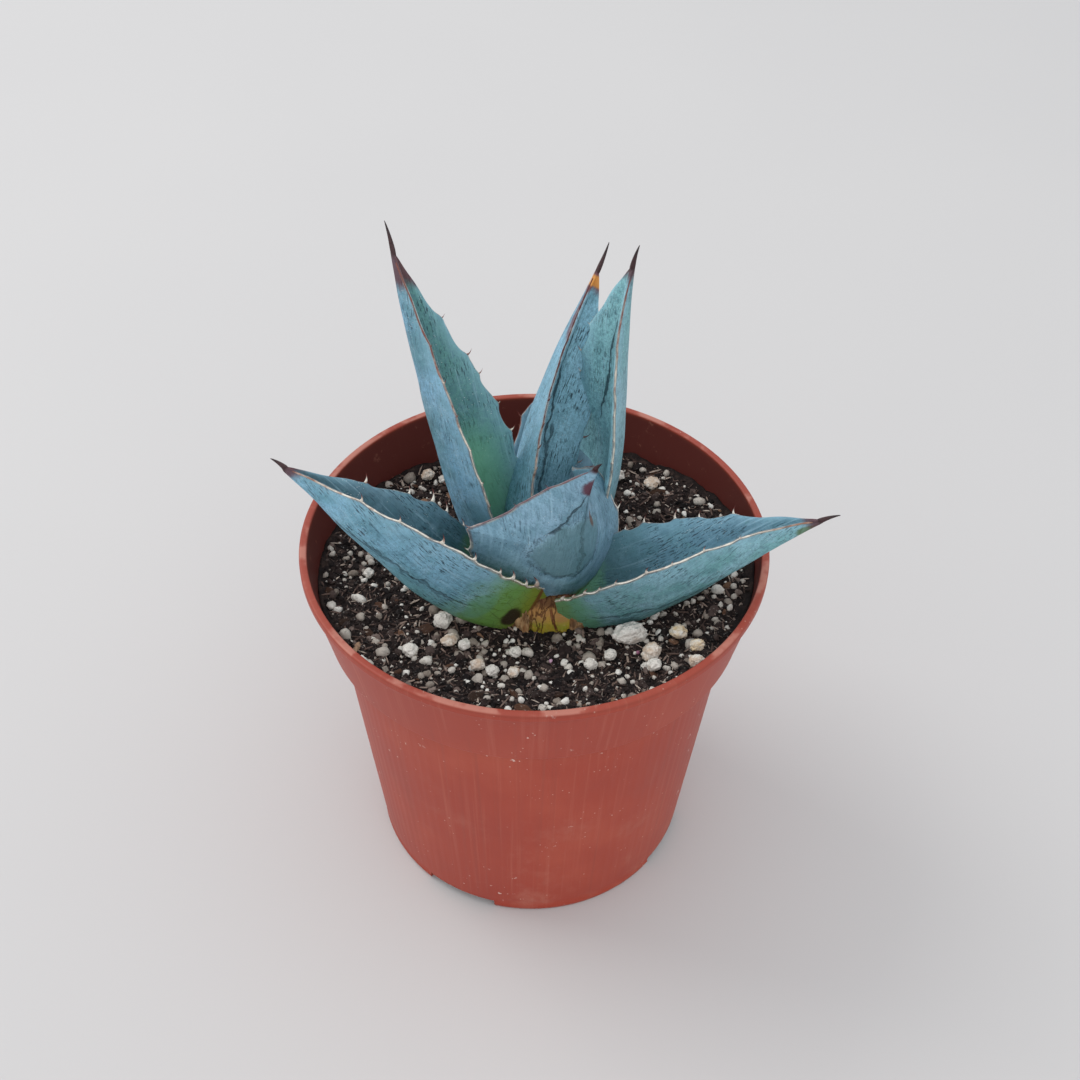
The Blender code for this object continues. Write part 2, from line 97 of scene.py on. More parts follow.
def tone(red, green, blue):
    """A colour given in 0 to 255 display values, as linear light."""
    made = []
    for part in (red, green, blue):
        part = part / 255.0
        made.append(part / 12.92 if part <= 0.04045 else ((part + 0.055) / 1.055) ** 2.4)
    return tuple(made)


class Value:
    """One output of a material's nodes, on which arithmetic adds Math nodes."""

    def __init__(self, finish, socket):
        self.finish = finish
        self.socket = socket

    def _math(self, operation, *values):
        inputs = dict(enumerate(values))
        return self.finish.node("ShaderNodeMath", {"operation": operation}, inputs)

    def __add__(self, other):
        return self._math("ADD", self, other)

    __radd__ = __add__

    def __sub__(self, other):
        return self._math("SUBTRACT", self, other)

    def __rsub__(self, other):
        return self._math("SUBTRACT", other, self)

    def __mul__(self, other):
        return self._math("MULTIPLY", self, other)

    __rmul__ = __mul__

    def __truediv__(self, other):
        return self._math("DIVIDE", self, other)

    def __abs__(self):
        return self._math("ABSOLUTE", self)

    def root(self):
        return self._math("SQRT", self)

    def above(self, low, high):
        """0 below low, 1 above high, smooth between; low above high turns it round."""
        flip = low > high
        if flip:
            low, high = high, low
        settings = {"interpolation_type": "SMOOTHSTEP"}
        inputs = {"Value": self, "From Min": low, "From Max": high}
        made = self.finish.node("ShaderNodeMapRange", settings, inputs)
        return 1.0 - made if flip else made


class Finish:
    """A material whose colour, roughness and relief are built from nodes."""

    def __init__(self, name, **constants):
        self.material = bpy.data.materials.new(name)
        self.material.use_nodes = True
        self.tree = self.material.node_tree
        self.shader = self.tree.nodes["Principled BSDF"]
        for socket, value in constants.items():
            self.shader.inputs[socket.replace("_", " ")].default_value = value

    def node(self, kind, settings=None, inputs=None, output=0):
        made = self.tree.nodes.new(kind)
        for key, value in (settings or {}).items():
            if key == "stops":
                self._stops(made, value)
            else:
                setattr(made, key, value)
        for key, value in (inputs or {}).items():
            self.feed(made.inputs[key], value)
        return Value(self, made.outputs[output])

    @staticmethod
    def _stops(made, stops):
        ramp = made.color_ramp
        while len(ramp.elements) < len(stops):
            ramp.elements.new(0.5)
        for element, (place, colour) in zip(ramp.elements, stops):
            element.position = place
            element.color = (*colour, 1.0)

    def feed(self, socket, value):
        if isinstance(value, Value):
            self.tree.links.new(value.socket, socket)
        elif isinstance(value, tuple) and socket.type == "RGBA":
            socket.default_value = (*value[:3], 1.0)
        else:
            socket.default_value = value

    def attribute(self, name, output="Vector"):
        made = self.node("ShaderNodeAttribute", {"attribute_name": name})
        return Value(self, made.socket.node.outputs[output])

    def object_place(self):
        made = self.node("ShaderNodeTexCoord")
        return Value(self, made.socket.node.outputs["Object"])

    def parts(self, vector):
        node = self.node("ShaderNodeSeparateXYZ", None, {0: vector}).socket.node
        return [Value(self, node.outputs[k]) for k in range(3)]

    def join(self, x, y, z):
        return self.node("ShaderNodeCombineXYZ", None, {0: x, 1: y, 2: z})

    def stretch(self, vector, x, y, z, shift=(0.0, 0.0, 0.0)):
        inputs = {"Vector": vector, "Scale": (x, y, z), "Location": shift}
        return self.node("ShaderNodeMapping", {"vector_type": "POINT"}, inputs)

    def noise(self, vector, scale, detail=3.0, rough=0.55):
        inputs = {"Vector": vector, "Scale": scale, "Detail": detail, "Roughness": rough}
        return self.node("ShaderNodeTexNoise", None, inputs)

    def cells(self, vector, scale, feature="F1"):
        """Distance from the middle of a random cell, or from its edge."""
        settings = {"feature": feature}
        inputs = {"Vector": vector, "Scale": scale}
        node = self.node("ShaderNodeTexVoronoi", settings, inputs).socket.node
        return Value(self, node.outputs["Distance"])

    def ramp(self, value, stops):
        return self.node("ShaderNodeValToRGB", {"stops": stops}, {0: value})

    def mix(self, share, first, second, blend="MIX"):
        settings = {"data_type": "RGBA", "blend_type": blend}
        made = self.node("ShaderNodeMix", settings).socket.node
        self.feed(made.inputs[0], share)
        self.feed(made.inputs[6], first)
        self.feed(made.inputs[7], second)
        return Value(self, made.outputs[2])

    def bump(self, height, distance, strength):
        inputs = {"Height": height, "Distance": distance, "Strength": strength}
        return self.node("ShaderNodeBump", None, inputs)

    def out(self, **channels):
        for socket, value in channels.items():
            self.feed(self.shader.inputs[socket.replace("_", " ")], value)
        return self.material


# ---------------------------------------------------------------- meshes


def finished(name, points, faces, looks, smooth=True):
    """A mesh object in metres from millimetre points."""
    mesh = bpy.data.meshes.new(name)
    flat = [(p[0] * MM, p[1] * MM, p[2] * MM) for p in points]
    mesh.from_pydata(flat, [], faces)
    for look in looks:
        mesh.materials.append(look)
    made = bpy.data.objects.new(name, mesh)
    bpy.context.scene.collection.objects.link(made)
    edit = bmesh.new()
    edit.from_mesh(mesh)
    bmesh.ops.recalc_face_normals(edit, faces=edit.faces)
    edit.to_mesh(mesh)
    edit.free()
    if smooth:
        mesh.shade_smooth()
    return made


def write_vectors(mesh, name, values):
    layer = mesh.attributes.new(name, "FLOAT_VECTOR", "POINT")
    layer.data.foreach_set("vector", np.asarray(values, np.float32).ravel())


def write_numbers(mesh, name, values):
    layer = mesh.attributes.new(name, "FLOAT", "POINT")
    layer.data.foreach_set("value", np.asarray(values, np.float32).ravel())


def applied(made):
    """The evaluated mesh takes the object's place, and its modifiers go."""
    bpy.context.view_layer.update()
    graph = bpy.context.evaluated_depsgraph_get()
    mesh = bpy.data.meshes.new_from_object(made.evaluated_get(graph))
    mesh.name = made.name
    made.modifiers.clear()
    made.data = mesh
    return made


def belongs(made, nodes):
    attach(made, "root")
    if nodes:
        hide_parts(*nodes)
    return made


def closed_tube(rings):
    """Quads between rings of equal size, and a face over each end."""
    faces = []
    size = len(rings[0])
    for low, high in zip(rings, rings[1:]):
        for k in range(size):
            n = (k + 1) % size
            faces.append((low[k], low[n], high[n], high[k]))
    faces.append(tuple(rings[0][::-1]))
    faces.append(tuple(rings[-1]))
    return faces


def revolve(profile, segments, ripple=None):
    """Points and faces of a turned shape that starts and ends on the axis."""
    points = []
    faces = []
    rings = []
    for radius, height in profile:
        if radius < 1e-6:
            rings.append([len(points)])
            points.append((0.0, 0.0, height))
            continue
        ring = []
        for k in range(segments):
            turn = 2.0 * math.pi * k / segments
            out = radius + (ripple(turn, height, radius) if ripple else 0.0)
            ring.append(len(points))
            points.append((out * math.cos(turn), out * math.sin(turn), height))
        rings.append(ring)
    for low, high in zip(rings, rings[1:]):
        for k in range(segments):
            n = (k + 1) % segments
            if len(low) == 1:
                faces.append((low[0], high[k], high[n]))
            elif len(high) == 1:
                faces.append((low[k], low[n], high[0]))
            else:
                faces.append((low[k], low[n], high[n], high[k]))
    return points, faces


# ---------------------------------------------------------------- the pot


def collar_radius(height):
    top = POT_HEIGHT - LIP_HEIGHT
    low = POT_HEIGHT - COLLAR_HEIGHT
    share = (height - low) / (top - low)
    return COLLAR_FOOT_RADIUS + (RIM_RADIUS - LIP_STEP - COLLAR_FOOT_RADIUS) * share


def body_radius(height):
    share = height / (POT_HEIGHT - COLLAR_HEIGHT)
    return BASE_RADIUS + (SHOULDER_RADIUS - BASE_RADIUS) * share


def inner_radius(height):
    """Radius of the pot's inner wall at a height above the step of the collar."""
    low = POT_HEIGHT - COLLAR_HEIGHT + WALL
    share = (height - low) / (POT_HEIGHT - 0.4 - low)
    wide = RIM_RADIUS - LIP_STEP - COLLAR_FOOT_RADIUS
    return COLLAR_FOOT_RADIUS - WALL + wide * share


def arc(centre, radius, start, end, count):
    """Profile points round a corner; angles in degrees from the outward direction."""
    made = []
    for k in range(count + 1):
        turn = math.radians(start + (end - start) * k / count)
        made.append((centre[0] + radius * math.cos(turn), centre[1] + radius * math.sin(turn)))
    return made


def straight(start, end, count):
    made = []
    for k in range(1, count):
        share = k / count
        made.append((start[0] + (end[0] - start[0]) * share,
                     start[1] + (end[1] - start[1]) * share))
    return made


def pot_profile():
    low = POT_HEIGHT - COLLAR_HEIGHT
    top = POT_HEIGHT
    inner_edge = BASE_RADIUS * 0.66
    outer_edge = BASE_RADIUS * 0.9
    made = [(0.0, 0.0)]
    made += straight((0.0, 0.0), (inner_edge, 0.0), 4)
    made += arc((inner_edge, 0.35), 0.35, -90, -45, 2)
    made += [(inner_edge + FOOT_RECESS, FOOT_RECESS)]
    made += [(outer_edge - FOOT_RECESS, FOOT_RECESS)]
    made += arc((outer_edge, 0.35), 0.35, -135, -90, 2)
    made += arc((BASE_RADIUS - 0.9, 0.9), 0.9, -90, 0, 5)
    made += [(body_radius(1.6) + 0.12, 1.6), (body_radius(2.0) - 0.05, 2.0)]
    made += straight((body_radius(2.0), 2.0), (SHOULDER_RADIUS, low), 26)
    made += [(SHOULDER_RADIUS - 0.15, low - 0.7), (SHOULDER_RADIUS + 0.1, low - 0.1)]
    made += arc((COLLAR_FOOT_RADIUS - 0.7, low + 0.7), 0.7, -90, 0, 4)
    top_collar = (collar_radius(top - LIP_HEIGHT - 0.8), top - LIP_HEIGHT - 0.8)
    made += straight((COLLAR_FOOT_RADIUS, low + 0.9), top_collar, 10)
    made += [top_collar, (RIM_RADIUS - LIP_STEP + 0.05, top - LIP_HEIGHT - 0.15)]
    made += arc((RIM_RADIUS - 0.45, top - LIP_HEIGHT + 0.45), 0.45, -90, 0, 3)
    made += [(RIM_RADIUS - 0.02, top - LIP_HEIGHT * 0.5)]
    made += arc((RIM_RADIUS - 0.6, top - 0.6), 0.6, 0, 90, 5)
    inside = RIM_RADIUS - LIP_STEP - WALL
    made += arc((inside + 0.5, top - 0.5), 0.5, 90, 180, 4)
    made += straight((inside, top - 0.6), (COLLAR_FOOT_RADIUS - WALL, low + WALL), 8)
    made += [(COLLAR_FOOT_RADIUS - WALL, low + WALL), (SHOULDER_RADIUS - WALL, low)]
    made += straight((SHOULDER_RADIUS - WALL, low), (body_radius(FLOOR) - WALL, FLOOR), 4)
    made += [(body_radius(FLOOR) - WALL, FLOOR), (0.0, FLOOR)]
    return made


def pot_ripple(turn, height, radius):
    """Fine flutes on the outside of the body, and the slight unevenness of a thin pot."""
    uneven = 0.16 * math.sin(2.0 * turn + 0.7) * height / POT_HEIGHT
    uneven += 0.07 * math.sin(3.0 * turn + 2.1)
    low = POT_HEIGHT - COLLAR_HEIGHT
    outside = abs(radius - body_radius(height)) < 0.3 and 2.5 < height < low - 1.0
    if not outside:
        return uneven * (1.0 if height > 1.0 else 0.0)
    fade = min(1.0, (height - 2.5) / 6.0, (low - 1.0 - height) / 5.0)
    wave = math.cos(FLUTE_COUNT * turn)
    return uneven - FLUTE_DEPTH * fade * max(0.0, wave) ** 3


def below_rim(drop):
    """A height in metres, from how far it lies under the top of the pot."""
    return (POT_HEIGHT - drop) * MM


COLLAR_SLOPE = 0.1912  # how fast the collar's inner wall widens with height
WALL_MIDDLE = 0.0386  # radius at z = 0 of a line that runs inside that wall, in metres


def pot_plastic():
    look = Finish("pot_plastic", Specular_IOR_Level=0.42)
    place = look.object_place()
    x, y, z = look.parts(place)
    turn = look.node("ShaderNodeMath", {"operation": "ARCTAN2"}, {0: y, 1: x})
    radius = (x * x + y * y).root()
    around = look.join(turn * 0.05, z, 0.0)
    clouds = look.noise(place, 26.0, 4.0)
    colour = look.ramp(clouds, [(0.32, tone(158, 56, 38)), (0.55, tone(165, 62, 42)),
                                (0.75, tone(176, 76, 54))])
    streaks = look.noise(look.stretch(around, 900.0, 14.0, 1.0), 1.0, 3.0, 0.6)
    colour = look.mix(streaks.above(0.52, 0.78) * 0.3, colour, tone(190, 112, 92))
    dark_streaks = look.noise(look.stretch(around, 620.0, 9.0, 1.0, (3.0, 1.0, 0.0)), 1.0, 2.0)
    colour = look.mix(dark_streaks.above(0.56, 0.75) * 0.25, colour, tone(140, 62, 48))
    dust = look.noise(place, 75.0, 5.0, 0.7)
    settled = dust.above(0.5, 0.8) * z.above(0.075, 0.02) * 0.35
    colour = look.mix(settled, colour, tone(196, 140, 122))
    specks = look.cells(place, 620.0).above(0.16, 0.08)
    chosen = look.noise(place, 110.0, 2.0).above(0.56, 0.62)
    colour = look.mix(specks * chosen * 0.7, colour, tone(214, 176, 160))
    scuff_place = look.stretch(around, 340.0, 90.0, 1.0, (0.0, 0.4, 0.0))
    scuffs = look.noise(scuff_place, 1.0, 6.0, 0.75).above(0.68, 0.76)
    colour = look.mix(scuffs * 0.35, colour, tone(206, 158, 140))
    splash = look.noise(place, 320.0, 3.0, 0.7).above(0.67, 0.71)
    few = look.noise(look.stretch(place, 1.0, 1.0, 1.0, (0.31, 0.1, 0.2)), 24.0, 1.0)
    colour = look.mix(splash * few.above(0.58, 0.66) * 0.8, colour, tone(225, 200, 188))
    # Painted shade: the inner wall, from just under the rim down to the collar's step, is
    # coloured dark red-brown for the shade inside the pot.
    within_wall = (radius - z * COLLAR_SLOPE).above(WALL_MIDDLE + 0.0002, WALL_MIDDLE - 0.0002)
    inside = within_wall * z.above(below_rim(0.2), below_rim(0.8))
    inside = inside * z.above(below_rim(21.2), below_rim(20.6))
    colour = look.mix(inside * 0.94, colour, tone(86, 36, 31))
    crumbs = look.noise(place, 260.0, 4.0, 0.7).above(0.62, 0.7) * inside
    colour = look.mix(crumbs * 0.5, colour, tone(150, 96, 80))
    # Painted highlight: a lighter, broken band along the top edge of the lip.
    lip_highlight = z.above(below_rim(0.4), below_rim(0.0))
    lip_highlight = lip_highlight * look.noise(place, 90.0, 4.0).above(0.5, 0.62)
    lip = z.above(below_rim(1.6), below_rim(0.2))
    colour = look.mix(lip * 0.4, colour, tone(126, 58, 44))
    colour = look.mix(lip_highlight * 0.35, colour, tone(214, 160, 142))
    rough = 0.42 + clouds * 0.12 + settled * 0.4 + scuffs * 0.2
    grain = look.noise(place, 1900.0, 2.0)
    height = grain * 0.3 + streaks * 0.7 + scuffs * 0.6
    return look.out(Base_Color=colour, Roughness=rough,
                    Normal=look.bump(height, 0.00006, 0.7))


BLOCK_SIDES = [(3, 2, 1, 0), (4, 5, 6, 7), (0, 1, 5, 4), (1, 2, 6, 5), (2, 3, 7, 6),
               (3, 0, 4, 7)]


def build_pot():
    """The turned shell, with notches cut in its foot and drain holes in its floor."""
    points, faces = revolve(pot_profile(), FLUTE_COUNT * 4, pot_ripple)
    pot = finished("pot_shell", points, faces, [pot_plastic()])
    cutters = []
    for k in range(NOTCH_COUNT):
        turn = math.radians(NOTCH_ANGLE + 360.0 * k / NOTCH_COUNT)
        corners = []
        for z, shrink in ((-8.0, 1.0), (NOTCH_HEIGHT, 0.93)):
            for reach, hand in ((0.87, -1), (1.07, -1), (1.07, 1), (0.87, 1)):
                a = BASE_RADIUS * reach
                b = hand * NOTCH_WIDTH / 2 * shrink
                corners.append((a * math.cos(turn) - b * math.sin(turn),
                                a * math.sin(turn) + b * math.cos(turn), z))
        cutters.append(finished(f"notch_{k}", corners, BLOCK_SIDES, [], smooth=False))
    for k in range(HOLE_COUNT):
        turn = math.radians(NOTCH_ANGLE + 360.0 * (k + 0.5) / HOLE_COUNT)
        x = BASE_RADIUS * HOLE_CIRCLE * math.cos(turn)
        y = BASE_RADIUS * HOLE_CIRCLE * math.sin(turn)
        ring, sides = revolve([(0, -2), (HOLE_RADIUS, -2), (HOLE_RADIUS, 8), (0, 8)], 32)
        moved = [(p[0] + x, p[1] + y, p[2]) for p in ring]
        cutters.append(finished(f"hole_{k}", moved, sides, [], smooth=False))
    for tool in cutters:
        step = pot.modifiers.new(tool.name, "BOOLEAN")
        step.operation = "DIFFERENCE"
        step.solver = "EXACT"
        step.object = tool
    applied(pot)
    for tool in cutters:
        bpy.data.objects.remove(tool, do_unlink=True)
    for face in pot.data.polygons:
        face.use_smooth = True
    pot.data.set_sharp_from_angle(angle=math.radians(50))
    return belongs(pot, ["pot"])


# ---------------------------------------------------------------- the leaves


def through(first, middle, last, t):
    """A smooth value that passes through three given ones at t = 0, a half and 1."""
    value = first * (2.0 * t - 1.0) * (t - 1.0)
    value += middle * 4.0 * t * (1.0 - t)
    return value + last * t * (2.0 * t - 1.0)


# Each leaf repeats its row of the CAD model: foot, over the ground round the stem; length;
# azimuth and roll at its foot and tip; elevation and fold at its foot, middle and tip;
# half width, its share at the foot, where it is widest and how it tapers; length of the
# spine; how round the keel is. What follows is for the looks alone: the seed of its
# unevenness, the share of the length that is bare of horn at the foot, the share at which
# the horn of its second margin ends, and the size of its teeth.
LEAVES = {
    "leaf_centre_tall": dict(
        foot=(-9.0, -0.4, 6.0), length=80.5, azimuth=(84, 38), rise=(64, 49, 59),
        roll=(84, 78), width=(14.5, 0.72, 0.33, 1.23), fold=(46, 45, 56), spine=8.0,
        keel=0.35, seed=3),
    "leaf_right_tall": dict(
        foot=(14.4, 13.3, -4.3), length=90.7, azimuth=(34, 45), rise=(58, 90, 82),
        roll=(-21, -21), width=(13.5, 0.72, 0.39, 1.43), fold=(42, 30, 52), spine=6.0,
        keel=0.35, seed=4),
    "leaf_front": dict(
        foot=(5.7, -12.0, 3.7), length=52.5, azimuth=(-49, -24), rise=(56, 84, 73),
        roll=(-23, -8), width=(26.0, 0.66, 0.55, 0.5), fold=(27, 40, 72), spine=3.2,
        keel=0.78, seed=5, bare=0.16, far_end=0.6),
    "leaf_upper_left": dict(
        foot=(-12.2, 2.2, -1.3), length=91.6, azimuth=(168, 107), rise=(63, 73, 51),
        roll=(-1, 47), width=(17.8, 0.72, 0.39, 0.86), fold=(60, 56, 64), spine=8.5,
        keel=0.35, seed=6),
    "leaf_back": dict(
        foot=(4.5, 9.5, 3.0), length=50.0, azimuth=(93, 80), rise=(42, 33, 20), roll=(0, 5),
        width=(13.0, 0.6, 0.4, 1.1), fold=(36, 38, 48), spine=4.0, keel=0.4, seed=7),
    "leaf_right_low": dict(
        foot=(8.1, -14.4, -3.0), length=72.4, azimuth=(-11, 16), rise=(6.5, 38.5, 21),
        roll=(-9, -26), width=(21.6, 0.69, 0.33, 0.91), fold=(62, 52, 62), spine=5.5,
        keel=0.3, seed=8, teeth=1.25),
    "leaf_left_low": dict(
        foot=(-0.5, -14.4, -2.8), length=80.5, azimuth=(207, 146.5), rise=(14, 47.7, 28.3),
        roll=(18.4, 29.8), width=(20.5, 0.72, 0.47, 0.86), fold=(61.7, 56, 66), spine=4.5,
        keel=0.3, seed=9, teeth=1.6),
}
LEAF_RINGS = 150
HALF_RING = 22
SPINE_RINGS = 14
FOOT_CUT = 1.2  # the middle line starts this far under the foot
TOOTH_SPACING = 6.2
TOOTH_SWELL = 0.5


def leaf_frame(row, t):
    """Direction, side and inner normal at a share of the leaf's length."""
    azimuth = math.radians(row["azimuth"][0] + (row["azimuth"][1] - row["azimuth"][0]) * t)
    rise = math.radians(through(*row["rise"], t))
    roll = math.radians(row["roll"][0] + (row["roll"][1] - row["roll"][0]) * t)
    along = Vector((math.cos(rise) * math.cos(azimuth), math.cos(rise) * math.sin(azimuth),
                    math.sin(rise)))
    flat = Vector((-math.sin(azimuth), math.cos(azimuth), 0.0))
    up = along.cross(flat)
    side = flat * math.cos(roll) + up * math.sin(roll)
    inner = up * math.cos(roll) - flat * math.sin(roll)
    return along, side, inner


def tooth_places(row, sign):
    """Shares of the length at which one margin carries teeth."""
    pick = random.Random(row["seed"] * 10 + sign)
    places = []
    along = 4.0
    while along < row["length"] * 0.86:
        places.append(along / row["length"])
        along += TOOTH_SPACING * pick.uniform(0.7, 1.35) * (1.0 + 0.5 * along / row["length"])
    return places


def margin_swell(row, t, sign):
    """How far a margin stands out near its teeth, and how it waves between them."""
    made = 0.0
    for place in tooth_places(row, sign):
        away = (t - place) * row["length"]
        made += TOOTH_SWELL * math.exp(-(away / 1.15) ** 2)
    wave = 0.35 * math.sin(t * row["length"] * 0.55 + row["seed"] + sign)
    return (made + wave) * min(1.0, (1.0 - t) * 6.0)


def leaf_spine_points(row):
    """Middle line of the leaf's outer face, finely sampled."""
    count = LEAF_RINGS
    place = Vector((row["foot"][0], row["foot"][1], STEM_LEVEL + row["foot"][2] - FOOT_CUT))
    made = [place.copy()]
    before = leaf_frame(row, 0.0)[0]
    for i in range(1, count):
        along = leaf_frame(row, i / (count - 1))[0]
        place = place + (along + before) * 0.5 * row["length"] / (count - 1)
        before = along
        made.append(place.copy())
    return made


def half_width(row, t):
    """Half the width of the opened leaf at a share of its length."""
    widest, share, peak, taper = row["width"]
    if t < peak:
        shape = share + (1.0 - share) * math.sin(0.5 * math.pi * t / peak)
    else:
        shape = math.cos(0.5 * math.pi * ((t - peak) / (1.0 - peak)) ** taper)
    return widest * shape + 0.8


def build_leaf(name, row, skin, horn):
    """A fleshy folded blade that runs out in a round spine, and its horny margins."""
    line = leaf_spine_points(row)
    steps = [math.sin(0.5 * math.pi * k / HALF_RING) for k in range(-HALF_RING, HALF_RING + 1)]
    points = []
    where = []
    skin_place = []
    rings = []
    margins = {1: [], -1: []}
    for i in range(LEAF_RINGS):
        t = i / (LEAF_RINGS - 1)
        along, side, inner = leaf_frame(row, t)
        half = half_width(row, t)
        fold = math.radians(through(*row["fold"], t))
        keel = through(BASE_THICKNESS, MIDDLE_THICKNESS, TIP_THICKNESS, t)
        if t > 0.85:
            keel += (2.0 * SPINE_RADIUS - keel) * (t - 0.85) / 0.15
        keel = min(keel, 0.62 * half + 0.9)
        swell = {sign: margin_swell(row, t, sign) for sign in (1, -1)}
        lower = []
        upper = []
        for u in steps:
            sign = 1 if u > 0 else -1
            wide = half + swell[sign] * abs(u) ** 6
            rounded = math.sqrt(u * u + row["keel"] ** 2) - row["keel"]
            rounded /= math.sqrt(1.0 + row["keel"] ** 2) - row["keel"]
            base = line[i] + side * (wide * math.cos(fold) * u)
            base = base + inner * (wide * math.sin(fold) * rounded)
            depth = MARGIN_THICKNESS * 0.6
            depth += (keel - MARGIN_THICKNESS * 0.6) * max(0.0, 1.0 - u * u) ** 0.7
            spot = Vector((t * row["length"] * 0.09, wide * u * 0.22, row["seed"] * 3.1))
            rough = noise.noise(spot) * 0.35 * (1.0 - u * u)
            lower.append((base - inner * rough, (t, u, 0.0), wide * u))
            spot.z += 7.0
            rough = noise.noise(spot) * 0.3 * (1.0 - u * u)
            upper.append((base + inner * (depth + rough), (t, u, 1.0), wide * u))
        ring = []
        for place, mark, across in lower + upper[::-1]:
            ring.append(len(points))
            points.append(place)
            where.append(mark)
            skin_place.append((t * row["length"], across, mark[2] * 40.0 + row["seed"] * 17.0))
        rings.append(ring)
        for sign, index in ((1, -1), (-1, 0)):
            edge = (lower[index][0] + upper[index][0]) * 0.5
            outward = (side * sign * math.cos(fold) + inner * math.sin(fold)).normalized()
            margins[sign].append((edge, outward, along, t))
    size = len(rings[0])
    middle = sum((points[n] for n in rings[-1]), Vector()) / size
    along, side, inner = leaf_frame(row, 1.0)
    for k in range(1, SPINE_RINGS + 1):
        share = k / SPINE_RINGS
        blend = min(1.0, share * 4.0)
        radius = SPINE_RADIUS * (0.78 * (1.0 - share) ** 0.85 + 0.1)
        ring = []
        for j in range(size):
            start = points[rings[LEAF_RINGS - 1][j]] - middle
            round_place = start.normalized() * radius
            place = start * (1.0 - blend) + round_place * blend
            bend = inner * (-0.9 * share * share)
            ring.append(len(points))
            points.append(middle + place + along * row["spine"] * share + bend)
            where.append((1.0 + 0.12 * share, 0.0, 0.5))
            skin_place.append((row["length"] + row["spine"] * share, start.dot(side),
                               row["seed"] * 17.0))
        rings.append(ring)
    leaf = finished(name + "_blade", points, closed_tube(rings), [skin])
    write_vectors(leaf.data, "where", where)
    write_vectors(leaf.data, "skin", skin_place)
    belongs(leaf, [name])
    build_horn(name, row, margins, horn)
    return leaf


def build_horn(name, row, margins, horn):
    """The thin horny line along both margins, with its hooked teeth."""
    points = []
    edges = []
    outward = []
    forward = []
    tooth = []
    share = []
    for sign in (1, -1):
        teeth = tooth_places(row, sign)
        start = len(points)
        for edge, out, along, t in margins[sign]:
            last = row.get("far_end", 0.985) if sign > 0 else 0.985
            if t > last or t < row.get("bare", 0.0):
                continue
            if len(points) > start:
                edges.append((len(points) - 1, len(points)))
            points.append(edge)
            outward.append(out)
            forward.append(along)
            tooth.append(0.0)
            share.append(t)
        for index, place in enumerate(teeth):
            if place < row.get("bare", 0.0) or (sign > 0 and place > row.get("far_end", 1.0)):
                continue
            spot = min(margins[sign], key=lambda entry: abs(entry[3] - place))
            points.append(spot[0])
            outward.append(spot[1])
            forward.append(spot[2])
            grow = 0.75 + 0.5 * ((index * 7 + row["seed"] * 3) % 5) / 4.0
            tooth.append(grow * (1.0 - 0.45 * place) * row.get("teeth", 1.0))
            share.append(place)
    mesh = bpy.data.meshes.new(name + "_margin")
    mesh.from_pydata([p * MM for p in points], edges, [])
    write_vectors(mesh, "outward", [tuple(v) for v in outward])
    write_vectors(mesh, "forward", [tuple(v) for v in forward])
    write_numbers(mesh, "tooth", tooth)
    write_numbers(mesh, "along", share)
    made = bpy.data.objects.new(name + "_margin", mesh)
    bpy.context.scene.collection.objects.link(made)
    use_tree(made, margin_tree(), {"Line radius": 0.17 * MM, "Tooth length": 1.9 * MM,
                                   "Tooth radius": 0.4 * MM, "Hook": 0.85, "Finish": horn})
    applied(made)
    made.data.shade_smooth()
    return belongs(made, [])


# ---------------------------------------------------------------- geometry nodes


